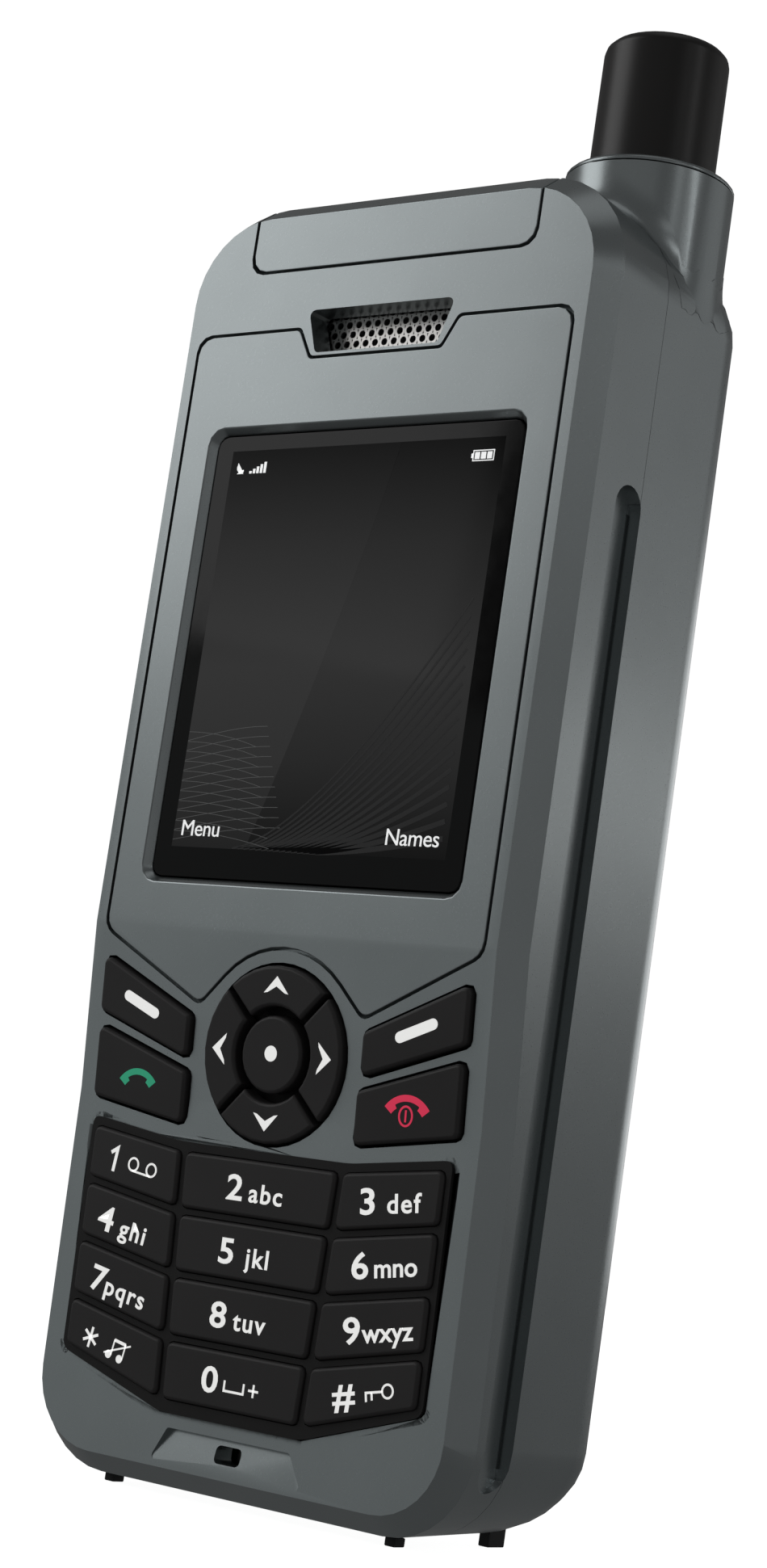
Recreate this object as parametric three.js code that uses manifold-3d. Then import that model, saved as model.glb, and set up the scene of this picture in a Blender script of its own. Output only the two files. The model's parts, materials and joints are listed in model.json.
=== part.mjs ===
// Handheld satellite phone, standing upright on its four feet. Millimetres, +Z up, front face towards -Y.
// The origin is the centre of the phone's footprint, on the plane that its feet stand on.
// Depths are measured backwards from the plane of the display's face.
import * as THREE from "three";
import { mergeVertices } from "three/addons/utils/BufferGeometryUtils.js";
import Module from "manifold-3d";

const wasm = await Module();
wasm.setup();

// ---------- driving dimensions ----------
// Corners are rounder at the top, and the back edge is rounder along the top and bottom than at the sides.
const BODY = { width: 53, height: 128, depth: 27, topR: 10.5, lowR: 9.2, wall: 2 };
const BACK_EDGE = { side: 6, top: 10.6, low: 8.6 };
const TAPER = { top: 0.07, low: 0.038 }; // how fast the top and the underside close in towards the back
const FACE_Y = -13.3; // plane of the display's face
const FOOT_H = 0.9;
const BOTTOM = FOOT_H; // underside of the housing
const TOP = BOTTOM + BODY.height;
const BACK_Y = FACE_Y + BODY.depth;
const HALF_W = BODY.width / 2;
const GAP = 0.3; // clearance between neighbouring pieces
const SEAM = 0.05; // fine joint between outer pieces that meet flush

// The face is flat beside the display, leans back below it and leans less under the number keys.
const BEND_UPPER = { z: 54, recess: 0 };
const BEND_LOWER = { z: 37.5, recess: 1.62 };
const BEND_END = { z: BOTTOM, recess: 2.75 };
const CHAMFER = { width: 1.9, depth: 2.5 };
const FRONT_T = 2.8; // thickness of the front housing's face
const PARTING = 10.35; // depth of the joint between the housings, at the foot of each groove's rear wall

const BEZEL = {
  halfW: 23.1, top: 114.7, thick: 1.0, cornerR: 1.75,
  notchBottom: 111.6, notchLow: 8.2, notchHigh: 9.95,
  sideEnd: 53.5, sideR: 2, tipX: 10.1, tipZ: 46.85, tipR: 1.1, arcR: 10.15,
};
const WINDOW = { halfW: 19, bottom: 59, top: 104.2, r: 1.2, front: 0.75, thick: 1.2, slope: 0.7 };
const LCD = { halfW: 18.2, bottom: 59.6, top: 103.6, front: 2.25, back: 5.2 };
const EARPIECE = {
  top: 116.7, bottom: 112.2, halfTop: 9.1, halfLow: 7.6, r: 0.6, grille: 3.1, grilleT: 0.4, margin: 0.8,
};
const GRILLE_HOLES = { firstX: -7.2, pitchX: 2.2, shift: 0.9, firstZ: 113.6, pitchZ: 1.9, r: 0.55, count: 7 };
const INSERT = { halfW: 17.5, bottom: 121.3, r: 1.8, thick: 1.2, topThick: 1.4 };
const MIC = { z: 5.1, halfW: 1.55, halfH: 0.85, r: 0.5, capsuleR: 1.55, front: 6.2 };
const MIC_RECESS = { top: 6.6, bottom: 3.4, halfTop: 7.5, halfLow: 9.3, depth: 0.6 };

const KEY = { proud: 0.7, sunk: 1.0, bevel: 0.25, mat: 1.9 };
const NAV = { z: 42.6, outerR: 8.45, innerR: 4.6, selectR: 3.7, gap: 0.6 };
const SOFT_KEY = [[10.65, 45.5], [22.5, 50.8], [22.5, 45.3], [10.65, 41.4]];
const CALL_KEY = [[10.5, 40.1], [22.4, 43.8], [22.4, 36.9], [10.5, 35.1]];
const PAD = {
  halfW: 22.2, topOut: 34.9, topMid: 33.4, midX: 10.5, botOut: 12.1, botMid: 7.9, botX: 8.7,
  r: 1, bevel: 0.55,
};
// Row lines of the number keys, at the middle column and at the outer edge.
const ROW_MID = [32.85, 26.85, 20.9, 14.9, 8.85];
const ROW_OUT = [34.3, 28.65, 23.0, 17.4, 12.35];
const COLUMN = { outer: 21.45, top: 9.7, bottom: 8.55, halfGap: 0.35 };

const MAT = { back: 6.8, halfW: 22.4, lowHalfW: 12, bottom: 7, slant: 5, top: 52.4 };
const DOMES = { front: 7.1, back: 7.4 };
const BOARD = { front: 7.7, back: 8.7, halfW: 23, bottom: 3.4, top: 121, cornerR: 8 };
const FLOOR = { front: PARTING + SEAM, back: 11.2 }; // wall between the board and the battery bay
const UPPER_BAY = { top: 124, back: 20, low: 73.4, halfLow: 20 }; // the space above the battery bay
const BAY = { halfW: 21, bottom: 9.9, top: 71.6, r: 2 };
const COVER = { halfW: 22, bottom: 9, top: 83, r: 4, rim: 22, wall: 1.6 };
const BATTERY = { halfW: 17, bottom: 15, top: 71, front: 14.3, back: 24.6, r: 2.5 };
const LOCK = {
  z: 76.5, headR: 4.6, headT: 1.1, sinkR: 4.9, shankR: 2.1, shankEnd: 15.4, bossR: 4.3,
  slotW: 1.2, slotD: 0.7,
};
const SIM = {
  x: 0, z: 42, cardW: 25, cardH: 15, cardT: 0.76, holderW: 28.4, holderH: 11.6, holderT: 2.4,
  floor: 0.8, lip: 1, fingerW: 7, notch: 3,
};
const CONTACTS = { halfW: 6.5, bottom: 10.4, top: 14.6, front: 11.5, back: 16 };

const ANTENNA = {
  x: 17.95, depth: 17.1, r: 6.3, bore: 6.75, top: 147.5, bottom: 86, wall: 0.9, crown: 1.5, capR: 1.2,
};
const COLLAR = { r: 8.45, rim: 133.6, ringH: 0.6, ringBore: 6.5, edge: 0.3, line: 0.12 };
const GUIDE = { r: 7.8, bottom: 84.4, top: 117, floor: 1.2 };
const STOP = { r: 6.55, height: 2.2 };

const GROOVE = {
  front: 6.2, back: 10.6, deep: 1.38, bottom: 6.1, topRight: 99.6, topLeft: 79.6, lineW: 0.35, lineDeep: 0.22,
};
const PORT = { bottom: 84.4, top: 104.4, front: 8.2, back: 15.2, thick: 1.2, r: 2 };
const PORT_SHELF = 1.4; // how far the port opening is smaller than the cover, all round
const USB = { z: 90, w: 7.6, h: 3, deep: 5.4, slotW: 6.8, slotH: 1.9 };
const JACK = { z: 98.8, w: 6, h: 5, deep: 9.5, r: 1.75 };
const PORT_DEPTH = 11.7; // centre of both sockets
const FEET = { x: 17.3, width: 1.2, gap: 0.1, front: [6.5, 8.1], rear: [21.4, 24.1] };
const SCREW = {
  headR: 1.7, headT: 1.3, shankR: 0.9, holeR: 1.25, pocketR: 2.1, bossR: 2.3,
  crossL: 1.1, crossW: 0.22, crossD: 0.6,
  sink: 3, // how deep the back screws' heads start, so that they lie below the rounded shoulder
};
const BAY_SCREWS = [[-19.2, 56], [19.2, 56]];
const BACK_SCREWS = [[-19.5, 120.2], [5, 122]];

// ---------- materials ----------
const plastic = (color, roughness = 0.5, metalness = 0) =>
  new THREE.MeshStandardMaterial({ color, roughness, metalness });
const MATERIAL = {
  paint: plastic(0x666b6c, 0.42, 0.25),
  key: plastic(0x262324, 0.55),
  black: plastic(0x1c1b1b, 0.5),
  rubber: plastic(0x232425, 0.8),
  glass: plastic(0x0a0a0b, 0.08),
  lcd: plastic(0x2c2e30, 0.3),
  steel: plastic(0xb9b6b2, 0.35, 1),
  board: plastic(0x1f5a3c, 0.6),
  gold: plastic(0xc9a24a, 0.3, 1),
  label: plastic(0x3b3f45, 0.6),
  card: plastic(0xe4e6e8, 0.5),
  ceramic: plastic(0xd6d0c2, 0.6),
};

// ---------- solids ----------
/** A closed geometry as a manifold-3d solid. */
function solid(geometry) {
  const bare = geometry.index ? geometry.toNonIndexed() : geometry.clone();
  bare.deleteAttribute("normal");
  bare.deleteAttribute("uv");
  const merged = mergeVertices(bare, 1e-4);
  return new wasm.Manifold(new wasm.Mesh({
    numProp: 3,
    vertProperties: new Float32Array(merged.attributes.position.array),
    triVerts: new Uint32Array(merged.index.array),
  }));
}

/** A manifold-3d solid as a geometry. */
function geometryOf(made) {
  const mesh = made.getMesh();
  const positions = new Float32Array(mesh.numVert * 3);
  for (let i = 0; i < mesh.numVert; i++)
    positions.set(mesh.vertProperties.subarray(i * mesh.numProp, i * mesh.numProp + 3), i * 3);
  return new THREE.BufferGeometry()
    .setAttribute("position", new THREE.BufferAttribute(positions, 3))
    .setIndex(new THREE.BufferAttribute(new Uint32Array(mesh.triVerts), 1));
}

const cut = (from, ...tools) => tools.reduce((rest, tool) => rest.subtract(tool), from);
const join = (first, ...others) => others.reduce((sum, other) => sum.add(other), first);

/** Depth behind the display's face plane, as a Y coordinate. */
const at = (depth) => FACE_Y + depth;

/** A shape drawn in X and Z, extruded between two depths. */
function slab(shape, front, back) {
  const depth = back - front;
  const geometry = new THREE.ExtrudeGeometry(shape, { depth, bevelEnabled: false, curveSegments: 4 });
  return solid(geometry.rotateX(Math.PI / 2).translate(0, at(back), 0));
}

/** A box between two X, two depths and two Z. */
function box(x0, x1, front, back, z0, z1) {
  const geometry = new THREE.BoxGeometry(x1 - x0, back - front, z1 - z0);
  return solid(geometry.translate((x0 + x1) / 2, at((front + back) / 2), (z0 + z1) / 2));
}

/** An upright cylinder about (x, depth). */
function post(x, depth, r, z0, z1, sides = 32) {
  const geometry = new THREE.CylinderGeometry(r, r, z1 - z0, sides);
  return solid(geometry.rotateX(Math.PI / 2).translate(x, at(depth), (z0 + z1) / 2));
}

/** A cylinder along Y about (x, z). */
function pin(x, z, r, front, back, sides = 16) {
  const geometry = new THREE.CylinderGeometry(r, r, back - front, sides);
  return solid(geometry.translate(x, at((front + back) / 2), z));
}

// ---------- outlines ----------
/** A closed outline through corners [x, z, radius], each rounded by an arc. */
function rounded(corners, fallbackR = 0, segments = 3) {
  const points = [];
  corners.forEach(([x, z, r = fallbackR], i) => {
    const here = new THREE.Vector2(x, z);
    const before = new THREE.Vector2(...corners.at(i - 1).slice(0, 2)).sub(here).normalize();
    const [nextX, nextZ] = corners[(i + 1) % corners.length];
    const after = new THREE.Vector2(nextX, nextZ).sub(here).normalize();
    if (!r) {
      points.push(here);
      return;
    }
    const half = Math.acos(THREE.MathUtils.clamp(before.dot(after), -1, 1)) / 2;
    const centre = before.clone().add(after).normalize().multiplyScalar(r / Math.sin(half)).add(here);
    const start = before.multiplyScalar(r / Math.tan(half)).add(here).sub(centre);
    const end = after.multiplyScalar(r / Math.tan(half)).add(here).sub(centre);
    const turn = Math.atan2(start.cross(end), start.dot(end));
    for (let k = 0; k <= segments; k++)
      points.push(start.clone().rotateAround(new THREE.Vector2(), (turn * k) / segments).add(centre));
  });
  return new THREE.Shape(points);
}

/** A polygon's corners moved outwards by g, whichever way round it runs. */
function grown(corners, g) {
  const area = corners.reduce((sum, [x, z], i) => {
    const [nx, nz] = corners[(i + 1) % corners.length];
    return sum + x * nz - nx * z;
  }, 0);
  const side = Math.sign(area) * g;
  return corners.map((corner, i) => {
    const [before, after] = [corners.at(i - 1), corners[(i + 1) % corners.length]];
    const a = new THREE.Vector2(corner[0] - before[0], corner[1] - before[1]).normalize();
    const b = new THREE.Vector2(after[0] - corner[0], after[1] - corner[1]).normalize();
    const normal = new THREE.Vector2(a.y + b.y, -a.x - b.x).normalize();
    const reach = side / (normal.x * a.y - normal.y * a.x);
    return [corner[0] + normal.x * reach, corner[1] + normal.y * reach, ...corner.slice(2)];
  });
}

const mirrored = (corners) => corners.map(([x, z, ...r]) => [-x, z, ...r]).reverse();
const rectangle = (halfW, bottom, top) => [[-halfW, bottom], [halfW, bottom], [halfW, top], [-halfW, top]];
function bodyOutline(inset, segments = 8) {
  const [half, low, high] = [HALF_W - inset, BOTTOM + inset, TOP - inset];
  const [lowR, topR] = [BODY.lowR - inset, BODY.topR - inset];
  const corners = [[-half, low, lowR], [half, low, lowR], [half, high, topR], [-half, high, topR]];
  return rounded(corners, 0, segments);
}

function bezelOutline(grow) {
  const half = Math.SQRT1_2 * BEZEL.arcR; // the crown is a quarter of a circle, so it ends at 45 degrees
  const right = [
    [BEZEL.notchHigh, BEZEL.top, 0.8], [BEZEL.halfW, BEZEL.top, BEZEL.cornerR],
    [BEZEL.halfW, BEZEL.sideEnd, BEZEL.sideR], [BEZEL.tipX, BEZEL.tipZ, BEZEL.tipR],
    [half, NAV.z + half],
  ];
  const arc = Array.from({ length: 9 }, (_, k) => THREE.MathUtils.degToRad(54 + 9 * k));
  const crown = arc.map((a) => [BEZEL.arcR * Math.cos(a), NAV.z + BEZEL.arcR * Math.sin(a)]);
  const notch = [[-BEZEL.notchLow, BEZEL.notchBottom, 0.6], [BEZEL.notchLow, BEZEL.notchBottom, 0.6]];
  return rounded(grown([...notch, ...right, ...crown, ...mirrored(right)], grow));
}

const insertOutline = (grow) =>
  rounded([
    [-INSERT.halfW - grow, TOP + 2, 0], [-INSERT.halfW - grow, INSERT.bottom - grow, INSERT.r],
    [INSERT.halfW + grow, INSERT.bottom - grow, INSERT.r], [INSERT.halfW + grow, TOP + 2, 0],
  ]);

const earpieceOutline = rounded(
  [[-EARPIECE.halfLow, EARPIECE.bottom], [EARPIECE.halfLow, EARPIECE.bottom],
    [EARPIECE.halfTop, EARPIECE.top], [-EARPIECE.halfTop, EARPIECE.top]],
  EARPIECE.r,
);

function padCorners() {
  const right = [[PAD.botX, PAD.botMid, 0], [PAD.halfW, PAD.botOut, PAD.r], [PAD.halfW, PAD.topOut, PAD.r],
    [PAD.midX, PAD.topMid, 0]];
  return [...right, ...mirrored(right)];
}

// ---------- the bent face ----------
/** How far the face lies behind the display's plane at a height. */
function recess(z) {
  if (z >= BEND_UPPER.z) return 0;
  const [high, low] = z >= BEND_LOWER.z ? [BEND_UPPER, BEND_LOWER] : [BEND_LOWER, BEND_END];
  return low.recess + ((z - low.z) / (high.z - low.z)) * (high.recess - low.recess);
}

/** The layer between two depths under the bent face, or from a depth under it to a flat plane. */
function bentLayer(front, back, flatBack = false) {
  const [low, high] = [BOTTOM - 5, TOP + 20];
  const line = [low, BOTTOM, BEND_LOWER.z, BEND_UPPER.z, high];
  const face = line.map((z) => new THREE.Vector2(at(front + recess(Math.max(z, BOTTOM))), z));
  const rear = flatBack
    ? [new THREE.Vector2(at(back), high), new THREE.Vector2(at(back), low)]
    : line.map((z) => new THREE.Vector2(at(back + recess(Math.max(z, BOTTOM))), z)).reverse();
  const geometry = new THREE.ExtrudeGeometry(new THREE.Shape([...face, ...rear]), {
    depth: BODY.width + 20, bevelEnabled: false,
  });
  const turn = new THREE.Matrix4().makeBasis(
    new THREE.Vector3(0, 1, 0), new THREE.Vector3(0, 0, 1), new THREE.Vector3(1, 0, 0),
  );
  return solid(geometry.translate(0, 0, -HALF_W - 10).applyMatrix4(turn));
}

/** A tilted part of the face: its height of reference, its lean and its frame, with local Z outwards. */
function panel(refZ, high, low) {
  const lean = Math.atan((low.recess - high.recess) / (high.z - low.z));
  const group = new THREE.Group();
  group.position.set(0, at(recess(refZ)), refZ);
  group.rotation.x = Math.PI / 2 + lean;
  group.updateMatrix();
  return { refZ, lean, group };
}

const navPanel = panel(NAV.z, BEND_UPPER, BEND_LOWER);
const padPanel = panel(21, BEND_LOWER, BEND_END);

/** Corners in X and Z as corners on a panel. */
const onPanel = (where, corners) =>
  corners.map(([x, z, ...r]) => [x, (z - where.refZ) / Math.cos(where.lean), ...r]);

/** A hole through the front housing, square to its panel. */
function opening(where, shape, front = 3, deep = -6) {
  const depth = front - deep;
  const geometry = new THREE.ExtrudeGeometry(shape, { depth, bevelEnabled: false, curveSegments: 4 });
  return solid(geometry.translate(0, 0, deep).applyMatrix4(where.group.matrix));
}

/** A prism along local Z that ends at a plane and widens by slope over the last stretch, deep, before it. */
function flared(shape, slope, deep, below) {
  const geometry = new THREE.ExtrudeGeometry(shape, {
    depth: below, bevelThickness: deep, bevelSize: -slope, bevelOffset: slope,
    bevelSegments: 1, curveSegments: 4,
  });
  return geometry.translate(0, 0, -deep - below);
}

// ---------- outer body ----------
/** The body's outline as points and outward normals, with a point wherever the face bends. */
function bodyLoop() {
  const corners = bodyOutline(0).getPoints();
  const points = corners.flatMap((point, i) => {
    const next = corners[(i + 1) % corners.length];
    const crossed = [BEND_UPPER.z, BEND_LOWER.z].filter((z) => (z - point.y) * (z - next.y) < 0);
    crossed.sort((a, b) => (a - b) * Math.sign(next.y - point.y));
    return [point, ...crossed.map((z) => new THREE.Vector2(point.x, z))];
  });
  return points.map((point, i) => {
    const along = points[(i + 1) % points.length].clone().sub(points.at(i - 1)).normalize();
    return { point, normal: new THREE.Vector2(along.y, -along.x) };
  });
}

/** A closed surface through loops of points [x, depth, z]: a ring closes on itself, others are capped. */
function loft(loops, isRing) {
  const count = loops[0].length;
  const points = loops.flat().map(([x, depth, z]) => [x, at(depth), z]);
  const index = [];
  const pairs = loops.length - (isRing ? 0 : 1);
  for (let loop = 0; loop < pairs; loop++) {
    const [a, b] = [loop * count, ((loop + 1) % loops.length) * count];
    for (let i = 0; i < count; i++) {
      const next = (i + 1) % count;
      index.push(a + i, b + next, a + next, a + i, b + i, b + next);
    }
  }
  if (!isRing)
    for (let i = 1; i < count - 1; i++) {
      const last = (loops.length - 1) * count;
      index.push(0, i, i + 1, last, last + i + 1, last + i);
    }
  const build = (order) => solid(new THREE.BufferGeometry()
    .setAttribute("position", new THREE.BufferAttribute(new Float32Array(points.flat()), 3))
    .setIndex(order));
  const made = build(index);
  return made.volume() > 0 ? made : build(index.slice().reverse());
}

/** Height of the housing's underside at a depth, near its middle. */
function underside(depth) {
  const radius = BACK_EDGE.low;
  const intoCurve = Math.max(0, depth - (BODY.depth - radius));
  const closing = TAPER.low * (depth - CHAMFER.depth - recess(BOTTOM));
  return BOTTOM + closing + radius - Math.sqrt(radius ** 2 - intoCurve ** 2);
}

/** A ring along the body's outline that takes off the chamfer, following the bent face. */
function chamferRing() {
  const reach = 3;
  const steep = CHAMFER.depth / CHAMFER.width;
  const corners = [
    [-CHAMFER.width, 0], [-CHAMFER.width, -reach], [reach, -reach], [reach, CHAMFER.depth + reach * steep],
  ];
  return loft(corners.map(([out, depth]) => bodyLoop().map(({ point, normal }) =>
    [point.x + normal.x * out, depth + recess(point.y), point.y + normal.y * out])), true);
}

/** The body with its back edges rounded, before the face is shaped. */
function roundedBody() {
  const steps = 6;
  const quarter = Array.from({ length: steps + 1 }, (_, k) => (k / steps) * (Math.PI / 2));
  const columns = bodyLoop().map(({ point, normal }) => {
    const end = normal.y > 0 ? "top" : "low";
    const radius = BACK_EDGE.side + (BACK_EDGE[end] - BACK_EDGE.side) * normal.y ** 2;
    const start = CHAMFER.depth + recess(point.y);
    const arc = quarter.map((a) => [radius * (1 - Math.cos(a)), BODY.depth - radius * (1 - Math.sin(a))]);
    return [[0, -1], [0, start], ...arc].map(([inset, depth]) => {
      const closing = TAPER[end] * Math.max(0, depth - start);
      return [point.x - normal.x * inset, depth, point.y - normal.y * (inset + closing)];
    });
  });
  const loops = columns[0].map((_, k) => columns.map((column) => column[k]));
  return loft(loops, false).intersect(bentLayer(0, BODY.depth, true));
}

const outerBody = cut(roundedBody(), chamferRing());

const collarTop = COLLAR.rim - COLLAR.ringH - COLLAR.line;
const collar = post(ANTENNA.x, ANTENNA.depth, COLLAR.r, TOP - 18, collarTop, 48);
const antennaBore = post(ANTENNA.x, ANTENNA.depth, ANTENNA.bore, GUIDE.bottom - 3, COLLAR.rim + 3, 48);

// ---------- keys ----------
/** A key cap: a prism with bevelled top edges, proud of the face, in its panel's frame. */
function keyCap(shape) {
  const { bevel } = KEY;
  const geometry = new THREE.ExtrudeGeometry(shape, {
    depth: KEY.sunk + KEY.proud - bevel, bevelSize: bevel, bevelThickness: bevel, bevelOffset: -bevel,
    bevelSegments: 1, curveSegments: 4,
  });
  const rear = solid(new THREE.BoxGeometry(60, 80, 4).translate(0, 0, -2));
  return geometryOf(solid(geometry).subtract(rear)).translate(0, 0, -KEY.sunk);
}

/** A quarter of the navigation ring, between two diagonals, in its panel's frame. */
function petal(middle, grow = 0) {
  const shape = (outer, inner, halfGap) => {
    const points = [];
    for (const [r, sign] of [[outer, 1], [inner, -1]]) {
      const spread = Math.PI / 4 - Math.asin(halfGap / r);
      for (let k = 0; k <= 8; k++) {
        const a = middle + sign * spread * (k / 4 - 1);
        points.push(new THREE.Vector2(r * Math.cos(a), r * Math.sin(a)));
      }
    }
    return new THREE.Shape(points);
  };
  return shape(NAV.outerR + grow, NAV.innerR - grow, NAV.gap / 2 - grow);
}

/** Corners of a number key in X and Z: row 0 to 3 from the top, column -1 to 1. */
function numberKeyCorners(row, column) {
  const columnX = (z) => {
    const share = (z - ROW_MID[4]) / (ROW_MID[0] - ROW_MID[4]);
    return COLUMN.bottom + share * (COLUMN.top - COLUMN.bottom);
  };
  const [top, bottom] = [ROW_MID[row] - COLUMN.halfGap, ROW_MID[row + 1] + COLUMN.halfGap];
  if (column === 0) {
    const [high, low] = [columnX(top) - COLUMN.halfGap, columnX(bottom) - COLUMN.halfGap];
    return [[-low, bottom], [low, bottom], [high, top], [-high, top]];
  }
  const [outTop, outBottom] = [ROW_OUT[row] - COLUMN.halfGap, ROW_OUT[row + 1] + COLUMN.halfGap];
  const right = [
    [columnX(bottom) + COLUMN.halfGap, bottom], [COLUMN.outer, outBottom],
    [COLUMN.outer, outTop], [columnX(top) + COLUMN.halfGap, top],
  ];
  return column > 0 ? right : mirrored(right);
}

const KEY_R = 0.6;
const keyOnPanel = (where, corners) => rounded(onPanel(where, corners), KEY_R, 2);
const faceKeys = [
  ["soft_key_right", SOFT_KEY], ["soft_key_left", mirrored(SOFT_KEY)],
  ["end_key", CALL_KEY], ["call_key", mirrored(CALL_KEY)],
];
const DIGITS = ["1", "2", "3", "4", "5", "6", "7", "8", "9", "star", "0", "hash"];
const PETALS = [["nav_right_key", 0], ["nav_up_key", 1], ["nav_left_key", 2], ["nav_down_key", 3]];
const circle = (r) => new THREE.Shape().absarc(0, 0, r, 0, 2 * Math.PI);

/** A round shape with an even number of sides, as a polygon. */
const round = (r, sides) => new THREE.Shape(circle(r).getSpacedPoints(sides).slice(0, -1));

// ---------- housings ----------
const navHole = round(NAV.outerR + GAP, 40);
const keyHoles = faceKeys.map(([, corners]) =>
  opening(navPanel, rounded(onPanel(navPanel, grown(corners, GAP)), KEY_R + GAP, 2)));
const padShape = rounded(onPanel(padPanel, padCorners()));
const padHole = opening(padPanel, padShape);
const padBevel = solid(flared(padShape, PAD.bevel, PAD.bevel, 1).applyMatrix4(padPanel.group.matrix));
const caseScrews = [...BAY_SCREWS, ...BACK_SCREWS];

function frontHousing() {
  const glass = rectangle(WINDOW.halfW, WINDOW.bottom, WINDOW.top);
  const windowHole = slab(rounded(grown(glass, GAP), WINDOW.r), -2, 6);
  const earHole = slab(earpieceOutline, -2, 6);
  const bezelPocket = slab(bezelOutline(GAP), -2, 6).intersect(bentLayer(-2, BEZEL.thick + GAP));
  const insertCore = box(-30, 30, INSERT.thick + GAP, 6, 100, TOP - INSERT.topThick - GAP);
  const insertPocket = cut(slab(insertOutline(GAP), -2, 6), insertCore);
  const micRecess = micRecessTool();
  const micHole = slab(rounded(rectangle(MIC.halfW, MIC.z - MIC.halfH, MIC.z + MIC.halfH), MIC.r), -2, 9);
  const bosses = caseScrews.map(([x, z]) => pin(x, z, SCREW.bossR, FRONT_T - 0.5, BOARD.front - GAP));
  const pilots = caseScrews.map(([x, z]) => pin(x, z, SCREW.holeR, FRONT_T - 1, BOARD.front + 2));
  const behindFace = bentLayer(FRONT_T, PARTING + 1, true);
  const hollow = slab(bodyOutline(BODY.wall), 0, PARTING + 1).intersect(behindFace);
  const collarNotch = post(ANTENNA.x, ANTENNA.depth, COLLAR.r + SEAM, TOP - BODY.topR, TOP + 1, 48);
  const shell = cut(outerBody, slab(bodyOutline(-1), PARTING, BODY.depth + 1), hollow, collarNotch);
  return cut(
    join(shell, ...bosses), ...pilots, ...sideCuts(), windowHole, earHole, bezelPocket, insertPocket,
    micRecess, micHole, opening(navPanel, navHole), ...keyHoles, padHole, padBevel,
  );
}

/** The wedge above the microphone: deepest at its top edge, running out at the bottom. */
function micRecessTool() {
  const { top, bottom, halfTop, halfLow, depth } = MIC_RECESS;
  const corners = [[-halfLow, bottom], [halfLow, bottom], [halfTop, top], [-halfTop, top]];
  const outline = slab(rounded(corners, 0.4), -2, 8);
  const lean = Math.atan(depth / (top - bottom));
  const wedge = new THREE.BoxGeometry(40, 8, 20).translate(0, -4, 0).rotateX(-lean);
  const floor = solid(wedge.translate(0, at(recess(bottom)), bottom));
  return outline.intersect(floor);
}

function bezel() {
  const { halfW, bottom, top, r, slope } = WINDOW;
  const corners = grown(rectangle(halfW, bottom, top), SEAM);
  const wall = flared(rounded(corners, r), slope - SEAM, BEZEL.thick, 2);
  const hole = solid(wall.rotateX(Math.PI / 2).translate(0, FACE_Y, 0));
  return cut(slab(bezelOutline(0), -2, 6).intersect(bentLayer(0, BEZEL.thick)), hole);
}

function topInsert() {
  const core = box(-30, 30, INSERT.thick, 6, 100, TOP - INSERT.topThick);
  const plate = outerBody.intersect(bentLayer(-1, FRONT_T));
  return cut(plate.intersect(slab(insertOutline(0), -2, 6)), core);
}

/** The long finger groove in a side wall, with rounded ends and a fine line along its rear wall's foot. */
function sideGroove(side, top) {
  const { front, back, deep, bottom, lineW, lineDeep } = GROOVE;
  const [half, middle, reach] = [(back - front) / 2, (front + back) / 2, 3];
  const [low, high] = [bottom + half, top - half];
  const x = side * (HALF_W - deep + reach);
  const ends = [low, high].map((z) => {
    const end = new THREE.CylinderGeometry(half, half, 2 * reach, 20).rotateZ(Math.PI / 2);
    return solid(end.translate(x, at(middle), z));
  });
  const run = box(x - reach, x + reach, front, back, low, high);
  const lineX = x - side * lineDeep;
  const line = box(lineX - reach, lineX + reach, back - lineW, back, low, high);
  return join(run, ...ends, line);
}

/** A cover-shaped outline in the left wall, between two X. */
function portSlab(shrink, x0, x1) {
  const outline = rounded(
    grown([[at(PORT.front), PORT.bottom], [at(PORT.back), PORT.bottom], [at(PORT.back), PORT.top],
      [at(PORT.front), PORT.top]], -shrink), PORT.r - shrink / 2,
  );
  const turn = new THREE.Matrix4().makeBasis(
    new THREE.Vector3(0, 1, 0), new THREE.Vector3(0, 0, 1), new THREE.Vector3(1, 0, 0),
  );
  const geometry = new THREE.ExtrudeGeometry(outline, { depth: x1 - x0, bevelEnabled: false });
  return solid(geometry.translate(0, 0, x0).applyMatrix4(turn));
}

/** What both housings lose at their sides: the finger grooves and the seat and opening of the port cover. */
const sideCuts = () => [
  sideGroove(1, GROOVE.topRight), sideGroove(-1, GROOVE.topLeft),
  portSlab(-GAP, -HALF_W - 1, -HALF_W + PORT.thick + GAP), portSlab(PORT_SHELF, -HALF_W - 1, -HALF_W + 6),
];

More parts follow.
